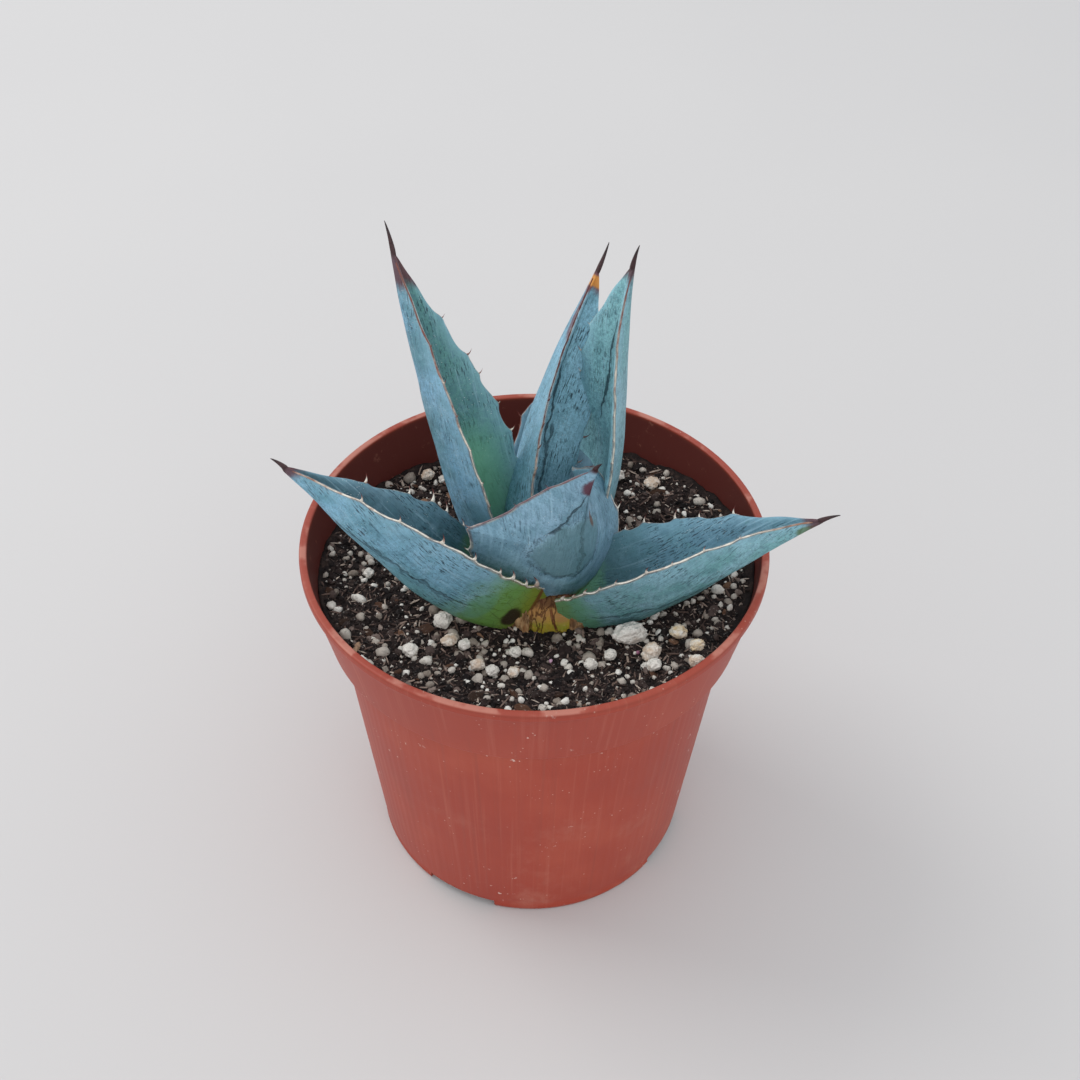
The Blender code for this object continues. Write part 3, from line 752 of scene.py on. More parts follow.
class Tree:
    """A geometry node tree with named inputs, built in plain calls."""

    KINDS = {"float": "NodeSocketFloat", "int": "NodeSocketInt",
             "material": "NodeSocketMaterial"}

    def __init__(self, name, **inputs):
        self.tree = bpy.data.node_groups.new(name, "GeometryNodeTree")
        face = self.tree.interface
        face.new_socket("Geometry", in_out="INPUT", socket_type="NodeSocketGeometry")
        face.new_socket("Geometry", in_out="OUTPUT", socket_type="NodeSocketGeometry")
        for key, kind in inputs.items():
            label = key.replace("_", " ")
            face.new_socket(label, in_out="INPUT", socket_type=self.KINDS[kind])
        self.source = self.tree.nodes.new("NodeGroupInput")
        self.end = self.tree.nodes.new("NodeGroupOutput")

    def given(self, name):
        return self.source.outputs[name]

    def node(self, kind, settings=None, inputs=None, output=0):
        made = self.tree.nodes.new(kind)
        for key, value in (settings or {}).items():
            setattr(made, key, value)
        for key, value in (inputs or {}).items():
            socket = made.inputs[key]
            if isinstance(value, bpy.types.NodeSocket):
                self.tree.links.new(value, socket)
            else:
                socket.default_value = value
        return made.outputs[output]

    def math(self, operation, *values):
        return self.node("ShaderNodeMath", {"operation": operation}, dict(enumerate(values)))

    def vector(self, operation, *values):
        settings = {"operation": operation}
        return self.node("ShaderNodeVectorMath", settings, dict(enumerate(values)))

    def scaled(self, vector, factor):
        inputs = {0: vector, "Scale": factor}
        return self.node("ShaderNodeVectorMath", {"operation": "SCALE"}, inputs)

    def attribute(self, name, kind="FLOAT"):
        return self.node("GeometryNodeInputNamedAttribute", {"data_type": kind}, {"Name": name})

    def store(self, geometry, name, value, domain="POINT"):
        settings = {"data_type": "FLOAT", "domain": domain}
        inputs = {"Geometry": geometry, "Name": name, "Value": value}
        return self.node("GeometryNodeStoreNamedAttribute", settings, inputs)

    def spread(self, low, high, seed):
        """A random number for each element."""
        made = self.node("FunctionNodeRandomValue", {"data_type": "FLOAT"}).node
        made.inputs[2].default_value = low
        made.inputs[3].default_value = high
        made.inputs["Seed"].default_value = seed
        return made.outputs[1]

    def spread_vector(self, low, high, seed):
        made = self.node("FunctionNodeRandomValue", {"data_type": "FLOAT_VECTOR"}).node
        made.inputs[0].default_value = low
        made.inputs[1].default_value = high
        made.inputs["Seed"].default_value = seed
        return made.outputs[0]

    def finish(self, geometry, finish):
        geometry = self.node("GeometryNodeRealizeInstances", None, {"Geometry": geometry})
        inputs = {"Geometry": geometry, "Material": finish}
        geometry = self.node("GeometryNodeSetMaterial", None, inputs)
        self.tree.links.new(geometry, self.end.inputs[0])
        return self.tree


def once(maker):
    """Builds a tree the first time it is asked for, and gives the same one after that."""
    built = []

    def get():
        if not built:
            built.append(maker())
        return built[0]

    return get


def use_tree(made, tree, values):
    """Puts a tree on an object, with its named inputs set by their identifiers."""
    step = made.modifiers.new(tree.name, "NODES")
    step.node_group = tree
    for item in tree.interface.items_tree:
        if item.item_type == "SOCKET" and item.in_out == "INPUT" and item.name in values:
            step[item.identifier] = values[item.name]
    return step


@once
def margin_tree():
    """A bead swept along the edges, and a hooked cone on every point that asks for one."""
    t = Tree("horny margin", Line_radius="float", Tooth_length="float", Tooth_radius="float",
             Hook="float", Finish="material")
    grown = t.attribute("tooth")
    is_tooth = t.node("FunctionNodeCompare", {"data_type": "FLOAT", "operation": "GREATER_THAN"},
                      {0: grown, 1: 0.01})
    line = t.node("GeometryNodeDeleteGeometry", {"domain": "POINT"},
                  {"Geometry": t.given("Geometry"), "Selection": is_tooth})
    path = t.node("GeometryNodeMeshToCurve", None, {"Mesh": line})
    ring = t.node("GeometryNodeCurvePrimitiveCircle", {"mode": "RADIUS"},
                  {"Resolution": 7, "Radius": t.given("Line radius")})
    wobble = t.node("ShaderNodeTexNoise", None, {"Scale": 500.0, "Detail": 3.0})
    girth = t.math("MAXIMUM", t.math("SUBTRACT", t.math("MULTIPLY", wobble, 3.4), 0.7), 0.25)
    path = t.node("GeometryNodeSetCurveRadius", None, {"Curve": path, "Radius": girth})
    sweep = {"Curve": path, "Profile Curve": ring, "Fill Caps": True}
    curve_to_mesh = t.node("GeometryNodeCurveToMesh").node
    for key, value in sweep.items():
        if key in curve_to_mesh.inputs:
            if isinstance(value, bpy.types.NodeSocket):
                t.tree.links.new(value, curve_to_mesh.inputs[key])
            else:
                curve_to_mesh.inputs[key].default_value = value
    if "Scale" in curve_to_mesh.inputs:
        t.tree.links.new(girth, curve_to_mesh.inputs["Scale"])
    bead = t.store(curve_to_mesh.outputs[0], "tip", 0.0)
    cone = t.node("GeometryNodeMeshCone", None,
                  {"Vertices": 8, "Side Segments": 5, "Radius Top": 0.00002,
                   "Radius Bottom": t.given("Tooth radius"), "Depth": t.given("Tooth length")})
    place = t.node("GeometryNodeInputPosition")
    split = t.node("ShaderNodeSeparateXYZ", None, {0: place}).node
    share = t.math("DIVIDE", split.outputs[2], t.given("Tooth length"))
    lean = t.math("MULTIPLY", t.math("MULTIPLY", share, share),
                  t.math("MULTIPLY", t.given("Hook"), t.given("Tooth length")))
    flat = t.math("MULTIPLY", split.outputs[1], -0.35)
    shift = t.node("ShaderNodeCombineXYZ", None, {0: lean, 1: flat, 2: 0.0})
    cone = t.node("GeometryNodeSetPosition", None, {"Geometry": cone, "Offset": shift})
    cone = t.store(cone, "tip", share)
    turn = t.node("FunctionNodeAlignRotationToVector", {"axis": "Z"},
                  {"Vector": t.attribute("outward", "FLOAT_VECTOR")})
    turn = t.node("FunctionNodeAlignRotationToVector", {"axis": "X", "pivot_axis": "Z"},
                  {"Rotation": turn, "Vector": t.attribute("forward", "FLOAT_VECTOR")})
    teeth = t.node("GeometryNodeInstanceOnPoints", None,
                   {"Points": t.given("Geometry"), "Selection": is_tooth, "Instance": cone,
                    "Rotation": turn, "Scale": grown})
    both = t.node("GeometryNodeJoinGeometry").node
    t.tree.links.new(teeth, both.inputs[0])
    t.tree.links.new(bead, both.inputs[0])
    return t.finish(both.outputs[0], t.given("Finish"))


# ---------------------------------------------------------------- leaf finishes


def imprinted(look, colour, relief, where, imprints):
    """Lines that the margins of other leaves pressed in the bud, each with a soft border.

    A row has the shares of the length between which the line runs, its place across the
    leaf at both, 1 on the inner face or 0 on the outer one, and its weight.
    """
    t, u, face = where
    for start, end, low, high, side, weight in imprints:
        share = (t - start) / (end - start)
        wander = look.noise(look.join(t * 11.0, low * 9.0, start * 7.0), 1.0, 4.0, 0.6) - 0.5
        path = share * (high - low) + low + wander * 0.3
        thick = look.noise(look.join(t * 30.0, start, 2.0), 1.0, 2.0).above(0.35, 0.7) * 0.03
        on_face = face if side else 1.0 - face
        reach = share.above(-0.04, 0.04) * share.above(1.04, 0.96) * on_face
        near = abs(u - path)
        mark = (near - thick).above(0.016, 0.002) * reach
        glow = near.above(0.16, 0.03) * reach
        colour = look.mix(glow * weight * 0.35, colour, tone(82, 124, 136))
        colour = look.mix(mark * weight, colour, tone(26, 44, 54))
        relief = relief - mark * 1.6 + glow * 0.5
    return colour, relief


def dented(look, colour, relief, where, middle, fine, lens):
    """A shallow lens-shaped dent on the outer face: its place and its two half sizes."""
    t, u, face = where
    place, across, tall, wide = lens
    wander = (middle - 0.5) * 0.5
    gap_t = (t - place) * (1.0 / tall)
    gap_u = (u - across) * (1.0 / wide)
    away = (gap_t * gap_t + gap_u * gap_u).root() + wander
    inside_lens = away.above(1.02, 0.85) * (1.0 - face)
    colour = look.mix(inside_lens * 0.6, colour, tone(96, 132, 138))
    ring = abs(away - 1.0).above(0.06, 0.015) * fine.above(0.46, 0.6) * (1.0 - face)
    colour = look.mix(ring * 0.5, colour, tone(52, 76, 88))
    lower = abs(away - 1.25).above(0.2, 0.05) * t.above(place, place - 0.1) * (1.0 - face)
    colour = look.mix(lower * 0.3, colour, tone(150, 190, 206))
    relief = relief + inside_lens * 1.2 - ring * 0.6 + lower * 0.4
    return colour, relief


def patched(look, colour, where, middle, patches):
    """Blotches on the outer face: place along and across, two half sizes, shade, weight."""
    t, u, face = where
    for place, across, tall, wide, shade, weight in patches:
        gap_t = (t - place) * (1.0 / tall)
        gap_u = (u - across) * (1.0 / wide)
        away = gap_t * gap_t + gap_u * gap_u + (middle - 0.5) * 1.2
        spot = away.above(1.15, 0.45) * (1.0 - face)
        colour = look.mix(spot * weight, colour, shade)
    return colour


def leaf_skin(name, outer, inside, deep, green_to=0.1, green=tone(112, 142, 58),
              olive=tone(140, 128, 40), tip_from=0.95, tip=tone(88, 44, 50), band=None,
              streak=0.6, pale_specks=0.6, imprints=(), patches=(), lens=None,
              inner_green=None, edge_light=0.35, teal=0.0, foot_specks=0.3, shaded=0.0):
    """Blue-green leaf skin under a pale bloom, green at its foot and purple at its tip."""
    look = Finish("skin_" + name, Specular_IOR_Level=0.38, Subsurface_Weight=0.05,
                  Subsurface_Radius=(0.0012, 0.0016, 0.0012), Subsurface_Scale=1.0)
    where = look.parts(look.attribute("where"))
    t, u, face = where
    skin = look.attribute("skin")
    clouds = look.noise(skin, 0.07, 3.0, 0.55)
    middle = look.noise(skin, 0.25, 4.0, 0.6)
    fine = look.noise(skin, 0.9, 5.0, 0.7)
    colour = look.mix(face, outer, inside)
    colour = look.mix(clouds.above(0.4, 0.62) * (1.0 - face * 0.75) * 0.8, colour, deep)
    colour = look.mix(middle.above(0.5, 0.66) * (1.0 - face * 0.6) * 0.42, colour,
                      tone(152, 192, 212))
    colour = look.mix(middle.above(0.48, 0.36) * 0.35, colour, tone(76, 124, 138))
    colour = look.mix(fine.above(0.42, 0.68) * 0.5, colour, tone(78, 118, 136))
    grit = look.noise(skin, 2.6, 3.0, 0.7)
    colour = look.mix(grit.above(0.5, 0.66) * 0.45, colour, tone(66, 100, 112))
    colour = look.mix(abs(u).above(0.55, 1.0) * edge_light, colour, tone(150, 194, 214))
    under = abs(u).above(0.5, 0.1) * (1.0 - face) * t.above(0.85, 0.4)
    colour = look.mix(under * teal * (middle * 0.6 + 0.7), colour, tone(98, 156, 144))
    veins = look.noise(look.stretch(skin, 0.1, 1.4, 1.0), 1.0, 4.0, 0.65)
    colour = look.mix(veins.above(0.5, 0.7) * 0.4 * streak, colour, tone(58, 96, 116))
    light_veins = look.noise(look.stretch(skin, 0.06, 1.0, 1.0, (4.0, 2.0, 1.0)), 1.0, 3.0)
    colour = look.mix(light_veins.above(0.54, 0.74) * 0.4, colour, tone(166, 204, 222))
    dashes = look.noise(look.stretch(skin, 0.42, 2.8, 1.0, (9.0, 5.0, 0.0)), 1.0, 2.0, 0.5)
    crowd = look.noise(skin, 0.11, 2.0).above(0.4, 0.6)
    dashes = dashes.above(0.57, 0.62) * crowd
    colour = look.mix(dashes * 0.85 * streak, colour, tone(26, 46, 58))
    dots = look.cells(skin, 1.25)
    pale = dots.above(0.2, 0.1) * look.noise(skin, 0.16, 2.0).above(0.5, 0.6)
    colour = look.mix(pale * pale_specks, colour, tone(212, 224, 226))
    dark = look.cells(look.stretch(skin, 1, 1, 1, (31.0, 7.0, 3.0)), 1.0).above(0.17, 0.1)
    dark = dark * look.noise(skin, 0.13, 1.0).above(0.48, 0.58)
    colour = look.mix(dark * 0.75, colour, tone(34, 56, 62))
    low_specks = look.cells(look.stretch(skin, 1, 1, 1, (3.0, 17.0, 1.0)), 1.7).above(0.3, 0.16)
    low_specks = low_specks * look.noise(skin, 0.3, 2.0).above(0.42, 0.56) * t.above(0.5, 0.12)
    colour = look.mix(low_specks * 0.7 * foot_specks, colour, tone(24, 70, 62))
    scuff = look.noise(skin, 0.35, 6.0, 0.75).above(0.6, 0.68)
    colour = look.mix(scuff * 0.5, colour, tone(96, 146, 150))
    relief = fine * 0.3 + veins * 0.4 - dashes * 0.5
    colour, relief = imprinted(look, colour, relief, where, imprints)
    if lens:
        colour, relief = dented(look, colour, relief, where, middle, fine, lens)
    if shaded:
        depth = (t + (middle - 0.5) * 0.2).above(0.62, 0.2) * face
        colour = look.mix(depth * shaded, colour, tone(38, 80, 80))
    if inner_green:
        place, size, shade = inner_green
        near = abs(t - place).above(size, size * 0.25) * abs(u).above(1.0, 0.3) * face
        colour = look.mix(near * 0.9, colour, shade)
    jitter = (middle - 0.5) * 0.14 + (fine - 0.5) * 0.05
    foot = (t + jitter).above(green_to * 1.5, green_to * 0.75)
    colour = look.mix(foot * 0.9, colour, green)
    lowest = (t + jitter * 0.6).above(green_to * 0.7, green_to * 0.3)
    colour = look.mix(lowest * 0.85, colour, olive)
    crackle = look.cells(look.stretch(skin, 0.5, 1.0, 1.0), 0.45, "DISTANCE_TO_EDGE")
    colour = look.mix(crackle.above(0.03, 0.008) * foot * 0.5, colour, tone(66, 84, 36))
    colour = patched(look, colour, where, middle, patches)
    purple = (t + jitter * 0.25 + abs(u) * 0.015).above(tip_from, tip_from + 0.04)
    colour = look.mix(purple * 0.92, colour, tip)
    if band:
        ring = abs(t - band).above(0.022, 0.012)
        colour = look.mix(ring, colour, tone(206, 140, 66))
    horn = (t + jitter * 0.1).above(0.99, 1.01)
    colour = look.mix(horn, colour, tone(58, 32, 34))
    colour = look.mix(t.above(1.04, 1.1) * 0.6, colour, tone(22, 18, 22))
    rim = abs(u).above(0.975, 0.992) * t.above(0.97, 0.93)
    rim_colour = look.mix(look.noise(skin, 0.5, 2.0).above(0.42, 0.6), tone(176, 166, 150),
                          tone(112, 84, 78))
    colour = look.mix(rim * 0.6, colour, rim_colour)
    rough = clouds * 0.12 + 0.44 - horn * 0.12 + fine * 0.12
    height = relief + look.noise(skin, 3.5, 2.0) * 0.15 + pale * 0.3
    return look.out(Base_Color=colour, Roughness=rough, Normal=look.bump(height, 0.0003, 0.85))


def horn_finish(name, pale, brown, dark_from):
    """Horny margins: pale low down, brown towards the leaf's tip, with dark tooth points."""
    look = Finish("horn_" + name, Specular_IOR_Level=0.3)
    tip = look.attribute("tip", "Fac")
    along = look.attribute("along", "Fac")
    place = look.object_place()
    worn = look.noise(place, 420.0, 3.0)
    browned = (along + (worn - 0.5) * 0.5).above(dark_from - 0.15, dark_from + 0.15)
    colour = look.mix(browned, pale, brown)
    colour = look.mix(worn.above(0.52, 0.64) * 0.6, colour, brown)
    colour = look.mix(tip.above(0.35, 0.8), colour, tone(112, 50, 44))
    colour = look.mix(tip.above(0.75, 1.0), colour, tone(56, 26, 28))
    return look.out(Base_Color=colour, Roughness=0.5 + worn * 0.2,
                    Normal=look.bump(worn, 0.0001, 0.6))


# For each leaf: the pale horn, the brown it turns to, and the share where it has turned.
HORNS = {
    "leaf_left_low": (tone(228, 222, 210), tone(142, 96, 78), 0.9),
    "leaf_right_low": (tone(228, 222, 210), tone(150, 108, 88), 0.85),
    "leaf_front": (tone(226, 220, 208), tone(124, 98, 104), 0.52),
    "leaf_upper_left": (tone(216, 206, 190), tone(122, 76, 68), 0.62),
    "leaf_centre_tall": (tone(190, 166, 150), tone(84, 42, 44), 0.42),
    "leaf_right_tall": (tone(210, 204, 190), tone(120, 74, 70), 0.8),
    "leaf_back": (tone(228, 222, 210), tone(120, 70, 60), 0.4),
}


def horn_finishes():
    return {leaf: horn_finish(leaf[len("leaf_"):], *row) for leaf, row in HORNS.items()}


def leaf_finishes():
    blotch = tone(44, 24, 20)
    return {
        "leaf_left_low": leaf_skin(
            # Painted shade: the inner face takes a much darker blue than the outer one.
            "left_low", tone(136, 186, 212), tone(44, 78, 90), tone(104, 158, 176),
            green_to=0.27, green=tone(110, 156, 56), olive=tone(128, 140, 44),
            tip_from=0.955, teal=0.45, foot_specks=0.8, shaded=0.75, streak=0.95,
            imprints=[(0.3, 0.8, 0.45, 0.2, 0, 0.45)],
            patches=[(0.12, 0.46, 0.04, 0.22, blotch, 0.95),
                     (0.05, 0.3, 0.018, 1.2, tone(112, 68, 36), 0.9),
                     (0.075, 0.25, 0.025, 0.16, tone(124, 82, 46), 0.8),
                     (0.27, 0.5, 0.05, 0.3, tone(96, 150, 120), 0.5)]),
        "leaf_right_low": leaf_skin(
            # Painted shade: the inner face takes a darker blue than the outer one.
            "right_low", tone(146, 196, 208), tone(92, 134, 154), tone(108, 168, 168),
            green_to=0.15, green=tone(104, 164, 128), olive=tone(112, 158, 104), teal=0.6,
            foot_specks=1.0, shaded=0.6, streak=0.85,
            imprints=[(0.2, 0.85, -0.1, 0.35, 1, 0.6), (0.35, 0.7, 0.35, 0.1, 1, 0.5),
                      (0.15, 0.6, -0.5, -0.2, 0, 0.4)],
            patches=[(0.95, -0.3, 0.04, 0.5, tone(84, 112, 60), 0.8)]),
        "leaf_front": leaf_skin(
            "front", tone(140, 176, 198), tone(90, 128, 146), tone(112, 152, 172),
            green_to=0.1, green=tone(136, 164, 100), olive=tone(172, 178, 104), tip_from=0.985,
            streak=0.5, pale_specks=0.45, lens=(0.5, -0.05, 0.2, 0.5),
            imprints=[(0.62, 0.9, -0.45, -0.12, 0, 0.7), (0.3, 0.95, 0.04, 0.0, 0, 0.5)],
            patches=[(0.91, 0.0, 0.06, 0.6, tone(92, 48, 62), 0.95),
                     (0.63, 0.3, 0.08, 0.05, tone(110, 76, 56), 0.8)], edge_light=0.1),
        "leaf_upper_left": leaf_skin(
            "upper_left", tone(128, 178, 206), tone(98, 152, 148), tone(84, 134, 142),
            green_to=0.09, green=tone(104, 150, 110), tip_from=0.91, streak=0.8,
            imprints=[(0.3, 0.75, 0.2, 0.1, 1, 0.35)],
            inner_green=(0.33, 0.24, tone(124, 190, 156))),
        "leaf_centre_tall": leaf_skin(
            # Painted light: the inner face takes a lighter blue than the outer one, to look lit
            # where it lies in shade.
            "centre_tall", tone(134, 184, 210), tone(152, 202, 220), tone(126, 176, 198),
            green_to=0.06, tip_from=0.93, band=0.975, streak=1.0, tip=tone(112, 50, 50),
            imprints=[(0.42, 0.92, -0.25, 0.1, 1, 0.8), (0.2, 0.5, -0.35, -0.3, 1, 0.6),
                      (0.3, 0.7, 0.3, 0.35, 1, 0.4)],
            patches=[(0.87, -0.95, 0.1, 0.3, tone(96, 44, 56), 0.8),
                     (0.87, 0.95, 0.1, 0.3, tone(96, 44, 56), 0.8)]),
        "leaf_right_tall": leaf_skin(
            # Painted light: the inner face takes a lighter blue than the outer one, to look lit
            # where it lies in shade.
            "right_tall", tone(136, 180, 190), tone(152, 206, 212), tone(124, 182, 186),
            green_to=0.08, tip_from=0.965, streak=0.6,
            imprints=[(0.5, 0.85, 0.3, 0.1, 1, 0.8), (0.3, 0.6, -0.55, -0.6, 1, 0.4)]),
        "leaf_back": leaf_skin(
            "back", tone(116, 160, 186), tone(58, 94, 112), tone(50, 84, 102), green_to=0.1),
    }


# ---------------------------------------------------------------- stem, shoot and husks


def stem_finish():
    look = Finish("stem_skin", Specular_IOR_Level=0.3)
    place = look.object_place()
    clouds = look.noise(place, 180.0, 4.0)
    colour = look.mix(clouds.above(0.35, 0.65), tone(150, 150, 92), tone(112, 92, 54))
    return look.out(Base_Color=colour, Roughness=0.6 + clouds * 0.2,
                    Normal=look.bump(clouds, 0.0004, 0.8))


def husk_finish(name, pale, dark):
    look = Finish(name, Specular_IOR_Level=0.25)
    place = look.object_place()
    fibre_place = look.stretch(place, 700.0, 700.0, 120.0)
    fibres = look.noise(fibre_place, 1.0, 5.0, 0.7)
    stains = look.noise(place, 160.0, 4.0, 0.6)
    colour = look.mix(fibres.above(0.35, 0.65), dark, pale)
    colour = look.mix(stains.above(0.5, 0.66) * 0.7, colour, tone(62, 36, 26))
    return look.out(Base_Color=colour, Roughness=0.72 + fibres * 0.2,
                    Normal=look.bump(fibres, 0.0004, 0.9))


def stub_finish():
    """What is left of a cut leaf: yellow-green flesh below, a dry brown scarred top."""
    look = Finish("old_leaf_flesh", Specular_IOR_Level=0.35)
    share, level, face = look.parts(look.attribute("where"))
    place = look.object_place()
    clouds = look.noise(place, 170.0, 5.0, 0.65)
    fine = look.noise(place, 620.0, 4.0, 0.6)
    colour = look.mix(clouds.above(0.38, 0.62), tone(186, 156, 56), tone(150, 150, 52))
    drying = (level + (clouds - 0.5) * 0.7).above(0.35, 0.62)
    colour = look.mix(drying * 0.9, colour, tone(172, 124, 76))
    edge = (level + (fine - 0.5) * 0.3).above(0.74, 0.9)
    colour = look.mix(edge * 0.85, colour, tone(96, 62, 40))
    crack_place = look.stretch(place, 260.0, 120.0, 90.0)
    cracks = look.noise(crack_place, 1.0, 4.0, 0.6)
    lines = abs(cracks - 0.5).above(0.03, 0.008)
    colour = look.mix(lines * 0.75, colour, tone(88, 48, 26))
    scar = abs(share + level * 0.12 - 0.6 + (fine - 0.5) * 0.03).above(0.02, 0.008)
    scar = scar * level.above(0.2, 0.3) * level.above(0.85, 0.75)
    colour = look.mix(scar * 0.9, colour, tone(120, 70, 40))
    fleck = look.noise(place, 1100.0, 2.0).above(0.6, 0.72)
    colour = look.mix(fleck * 0.35, colour, tone(196, 168, 120))
    height = fine * 0.4 + clouds * 0.6 - lines * 0.8 - scar * 0.8
    return look.out(Base_Color=colour, Roughness=0.5 + drying * 0.3,
                    Normal=look.bump(height, 0.0005, 0.9))


def build_stem(look):
    top = STEM_LEVEL + STEM_HEIGHT
    low = STEM_LEVEL - STEM_DEPTH
    profile = [(0.0, low), (5.2, low), (8.8, low + 3.0), (STEM_RADIUS, STEM_LEVEL - 3.6),
               (8.9, STEM_LEVEL + 0.2), (6.7, top - 1.4), (3.4, top - 0.2), (0.0, top)]

    def rings(turn, height, radius):
        return 0.25 * math.sin(height * 2.4) + 0.3 * math.sin(3.0 * turn + height)

    points, faces = revolve(profile, 48, rings)
    points = [(p[0] + STEM_X, p[1] + STEM_Y, p[2]) for p in points]
    stem = finished("stem_core", points, faces, [look])
    step = stem.modifiers.new("round", "SUBSURF")
    step.levels = 1
    step.render_levels = 1
    applied(stem)
    return belongs(stem, ["stem"])


def build_bud(look):
    """The closed shoot: young leaves rolled round each other to a point."""
    low = STEM_LEVEL + STEM_HEIGHT
    segments = 48
    points = []
    where = []
    skin = []
    rings = []
    for i in range(60):
        share = i / 59.0
        swell = SHOOT_RADIUS * math.sin(math.pi * (0.28 + 0.72 * share)) ** 0.8
        swell *= 1.0 - 0.1 * share
        ring = []
        for k in range(segments):
            turn = 2.0 * math.pi * k / segments
            seam = (turn / (2.0 * math.pi) * 3.0 + share * 0.8) % 1.0
            out = max(0.12, swell + 0.45 * seam * (1.0 - share))
            ring.append(len(points))
            points.append(Vector((STEM_X + out * math.cos(turn), STEM_Y + out * math.sin(turn),
                                  low + SHOOT_HEIGHT * share)))
            where.append((share * 1.06, seam * 1.7 - 0.85, 0.0))
            skin.append((share * SHOOT_HEIGHT, turn * 3.0, 5.0))
        rings.append(ring)
    bud = finished("shoot", points, closed_tube(rings), [look])
    write_vectors(bud.data, "where", where)
    write_vectors(bud.data, "skin", skin)
    return belongs(bud, ["centre_bud"])


# Name, tint, radius, thickness, start and end angle, height, lean and raggedness. Each runs a
# little further round the stem than in the CAD model, and the two thin ones are thinner.
HUSKS = [
    ("husk_right", "straw", 19.4, 0.7, -74.0, -55.0, 8.6, -1.2, 0.1),
    ("husk_left", "straw", 19.4, 0.7, -124.0, -105.0, 8.0, -1.2, 0.12),
    ("old_leaf_stub", "brown", 14.6, 4.3, -124.0, -54.0, 9.5, -1.5, 0.04),
]


def build_husk(name, tint, radius, thickness, start, end, height, lean, ragged, looks):
    """What is left of an old leaf: a thick fleshy stub, or a thin torn strip."""
    fleshy = thickness > 3.0
    across = 150 if fleshy else 60
    rows = 40 if fleshy else 24
    foot = STEM_LEVEL - 1.6
    points = []
    where = []
    for face in (0, 1):
        for k in range(across + 1):
            share = k / across
            turn = math.radians(start + (end - start) * share)
            rise = height * (0.2 + 0.8 * math.sin(math.pi * (0.04 + 0.92 * share)) ** 0.8)
            rise *= 1.0 + ragged * math.sin(7.0 * share + radius)
            torn = noise.noise(Vector((share * 14.0, radius, 0.0)))
            torn += 0.6 * noise.noise(Vector((share * 40.0, radius, 3.0)))
            rise *= 1.0 + (0.09 if fleshy else 0.3) * torn
            for j in range(rows + 1):
                level = j / rows
                place = Vector((share * 9.0, level * 2.5, radius))
                fibre = noise.noise(Vector((share * 60.0, level * 3.0, radius))) * 0.16
                curl = noise.noise(place) * (0.5 if fleshy else 0.8)
                swell = 0.9 * math.sin(math.pi * level) * face if fleshy else 0.0
                out = radius + thickness * face * (1.0 - 0.35 * level) + lean * level * level
                out += swell + (curl + fibre) * (0.3 + 0.7 * level)
                points.append((STEM_X + out * math.cos(turn), STEM_Y + out * math.sin(turn),
                               foot + (rise + 1.6) * level))
                where.append((share, level, float(face)))
    faces = []
    row = rows + 1
    back = (across + 1) * row
    for k in range(across):
        for j in range(rows):
            a = k * row + j
            faces.append((a, a + row, a + row + 1, a + 1))
            faces.append((a + back, a + back + 1, a + back + row + 1, a + back + row))
        a = k * row
        faces.append((a, a + back, a + back + row, a + row))
        top = a + rows
        faces.append((top, top + row, top + back + row, top + back))
    for j in range(rows):
        faces.append((j, j + 1, j + 1 + back, j + back))
        a = across * row + j
        faces.append((a, a + back, a + 1 + back, a + 1))
    husk = finished(name + "_fibres", points, faces, [looks[tint]])
    write_vectors(husk.data, "where", where)
    return belongs(husk, [name])


# ---------------------------------------------------------------- soil and grains


def soil_edge(turn):
    """Radius and height of the soil's edge at the wall, in one direction."""
    drop = SOIL_DROP + SOIL_LEAN_BACK * math.sin(turn) - SOIL_LEAN_LEFT * math.cos(turn)
    drop += SOIL_SETTLED * math.sin(turn) ** 2
    height = POT_HEIGHT - drop
    return inner_radius(height), height


def soil_height(x, y):
    """The smooth ground: level round the stem, rising to the wall as a dish does."""
    edge, height = soil_edge(math.atan2(y, x))
    away = math.hypot(x, y) / edge
    settle = max(0.0, 1.0 - away * away)
    dips = 0.55 * math.sin(x * 0.21 + 0.6) * math.cos(y * 0.17 - 0.4)
    dips += 0.35 * math.sin(x * 0.09 - y * 0.13 + 2.0)
    rise = (height - STEM_LEVEL) * min(1.0, away) ** 2.4
    return STEM_LEVEL + rise + dips * min(1.0, settle * 3.0)


def soil_relief(x, y):
    """Clods and pits on top of the smooth ground."""
    place = Vector((x * 0.16, y * 0.16, 0.0))
    made = noise.noise(place) * 1.1
    made += noise.noise(place * 3.1) * 0.55
    made += noise.noise(place * 8.3) * 0.3
    return made - 0.5


def peat_finish():
    look = Finish("soil_peat", Specular_IOR_Level=0.2)
    place = look.object_place()
    clods = look.noise(place, 420.0, 6.0, 0.7)
    colour = look.ramp(clods, [(0.3, tone(20, 15, 15)), (0.52, tone(38, 30, 29)),
                               (0.66, tone(66, 52, 47)), (0.8, tone(110, 92, 84))])
    damp = look.noise(place, 60.0, 3.0)
    colour = look.mix(damp.above(0.45, 0.7) * 0.5, colour, tone(34, 26, 24))
    return look.out(Base_Color=colour, Roughness=0.78 + clods * 0.2,
                    Normal=look.bump(clods, 0.0008, 0.9))


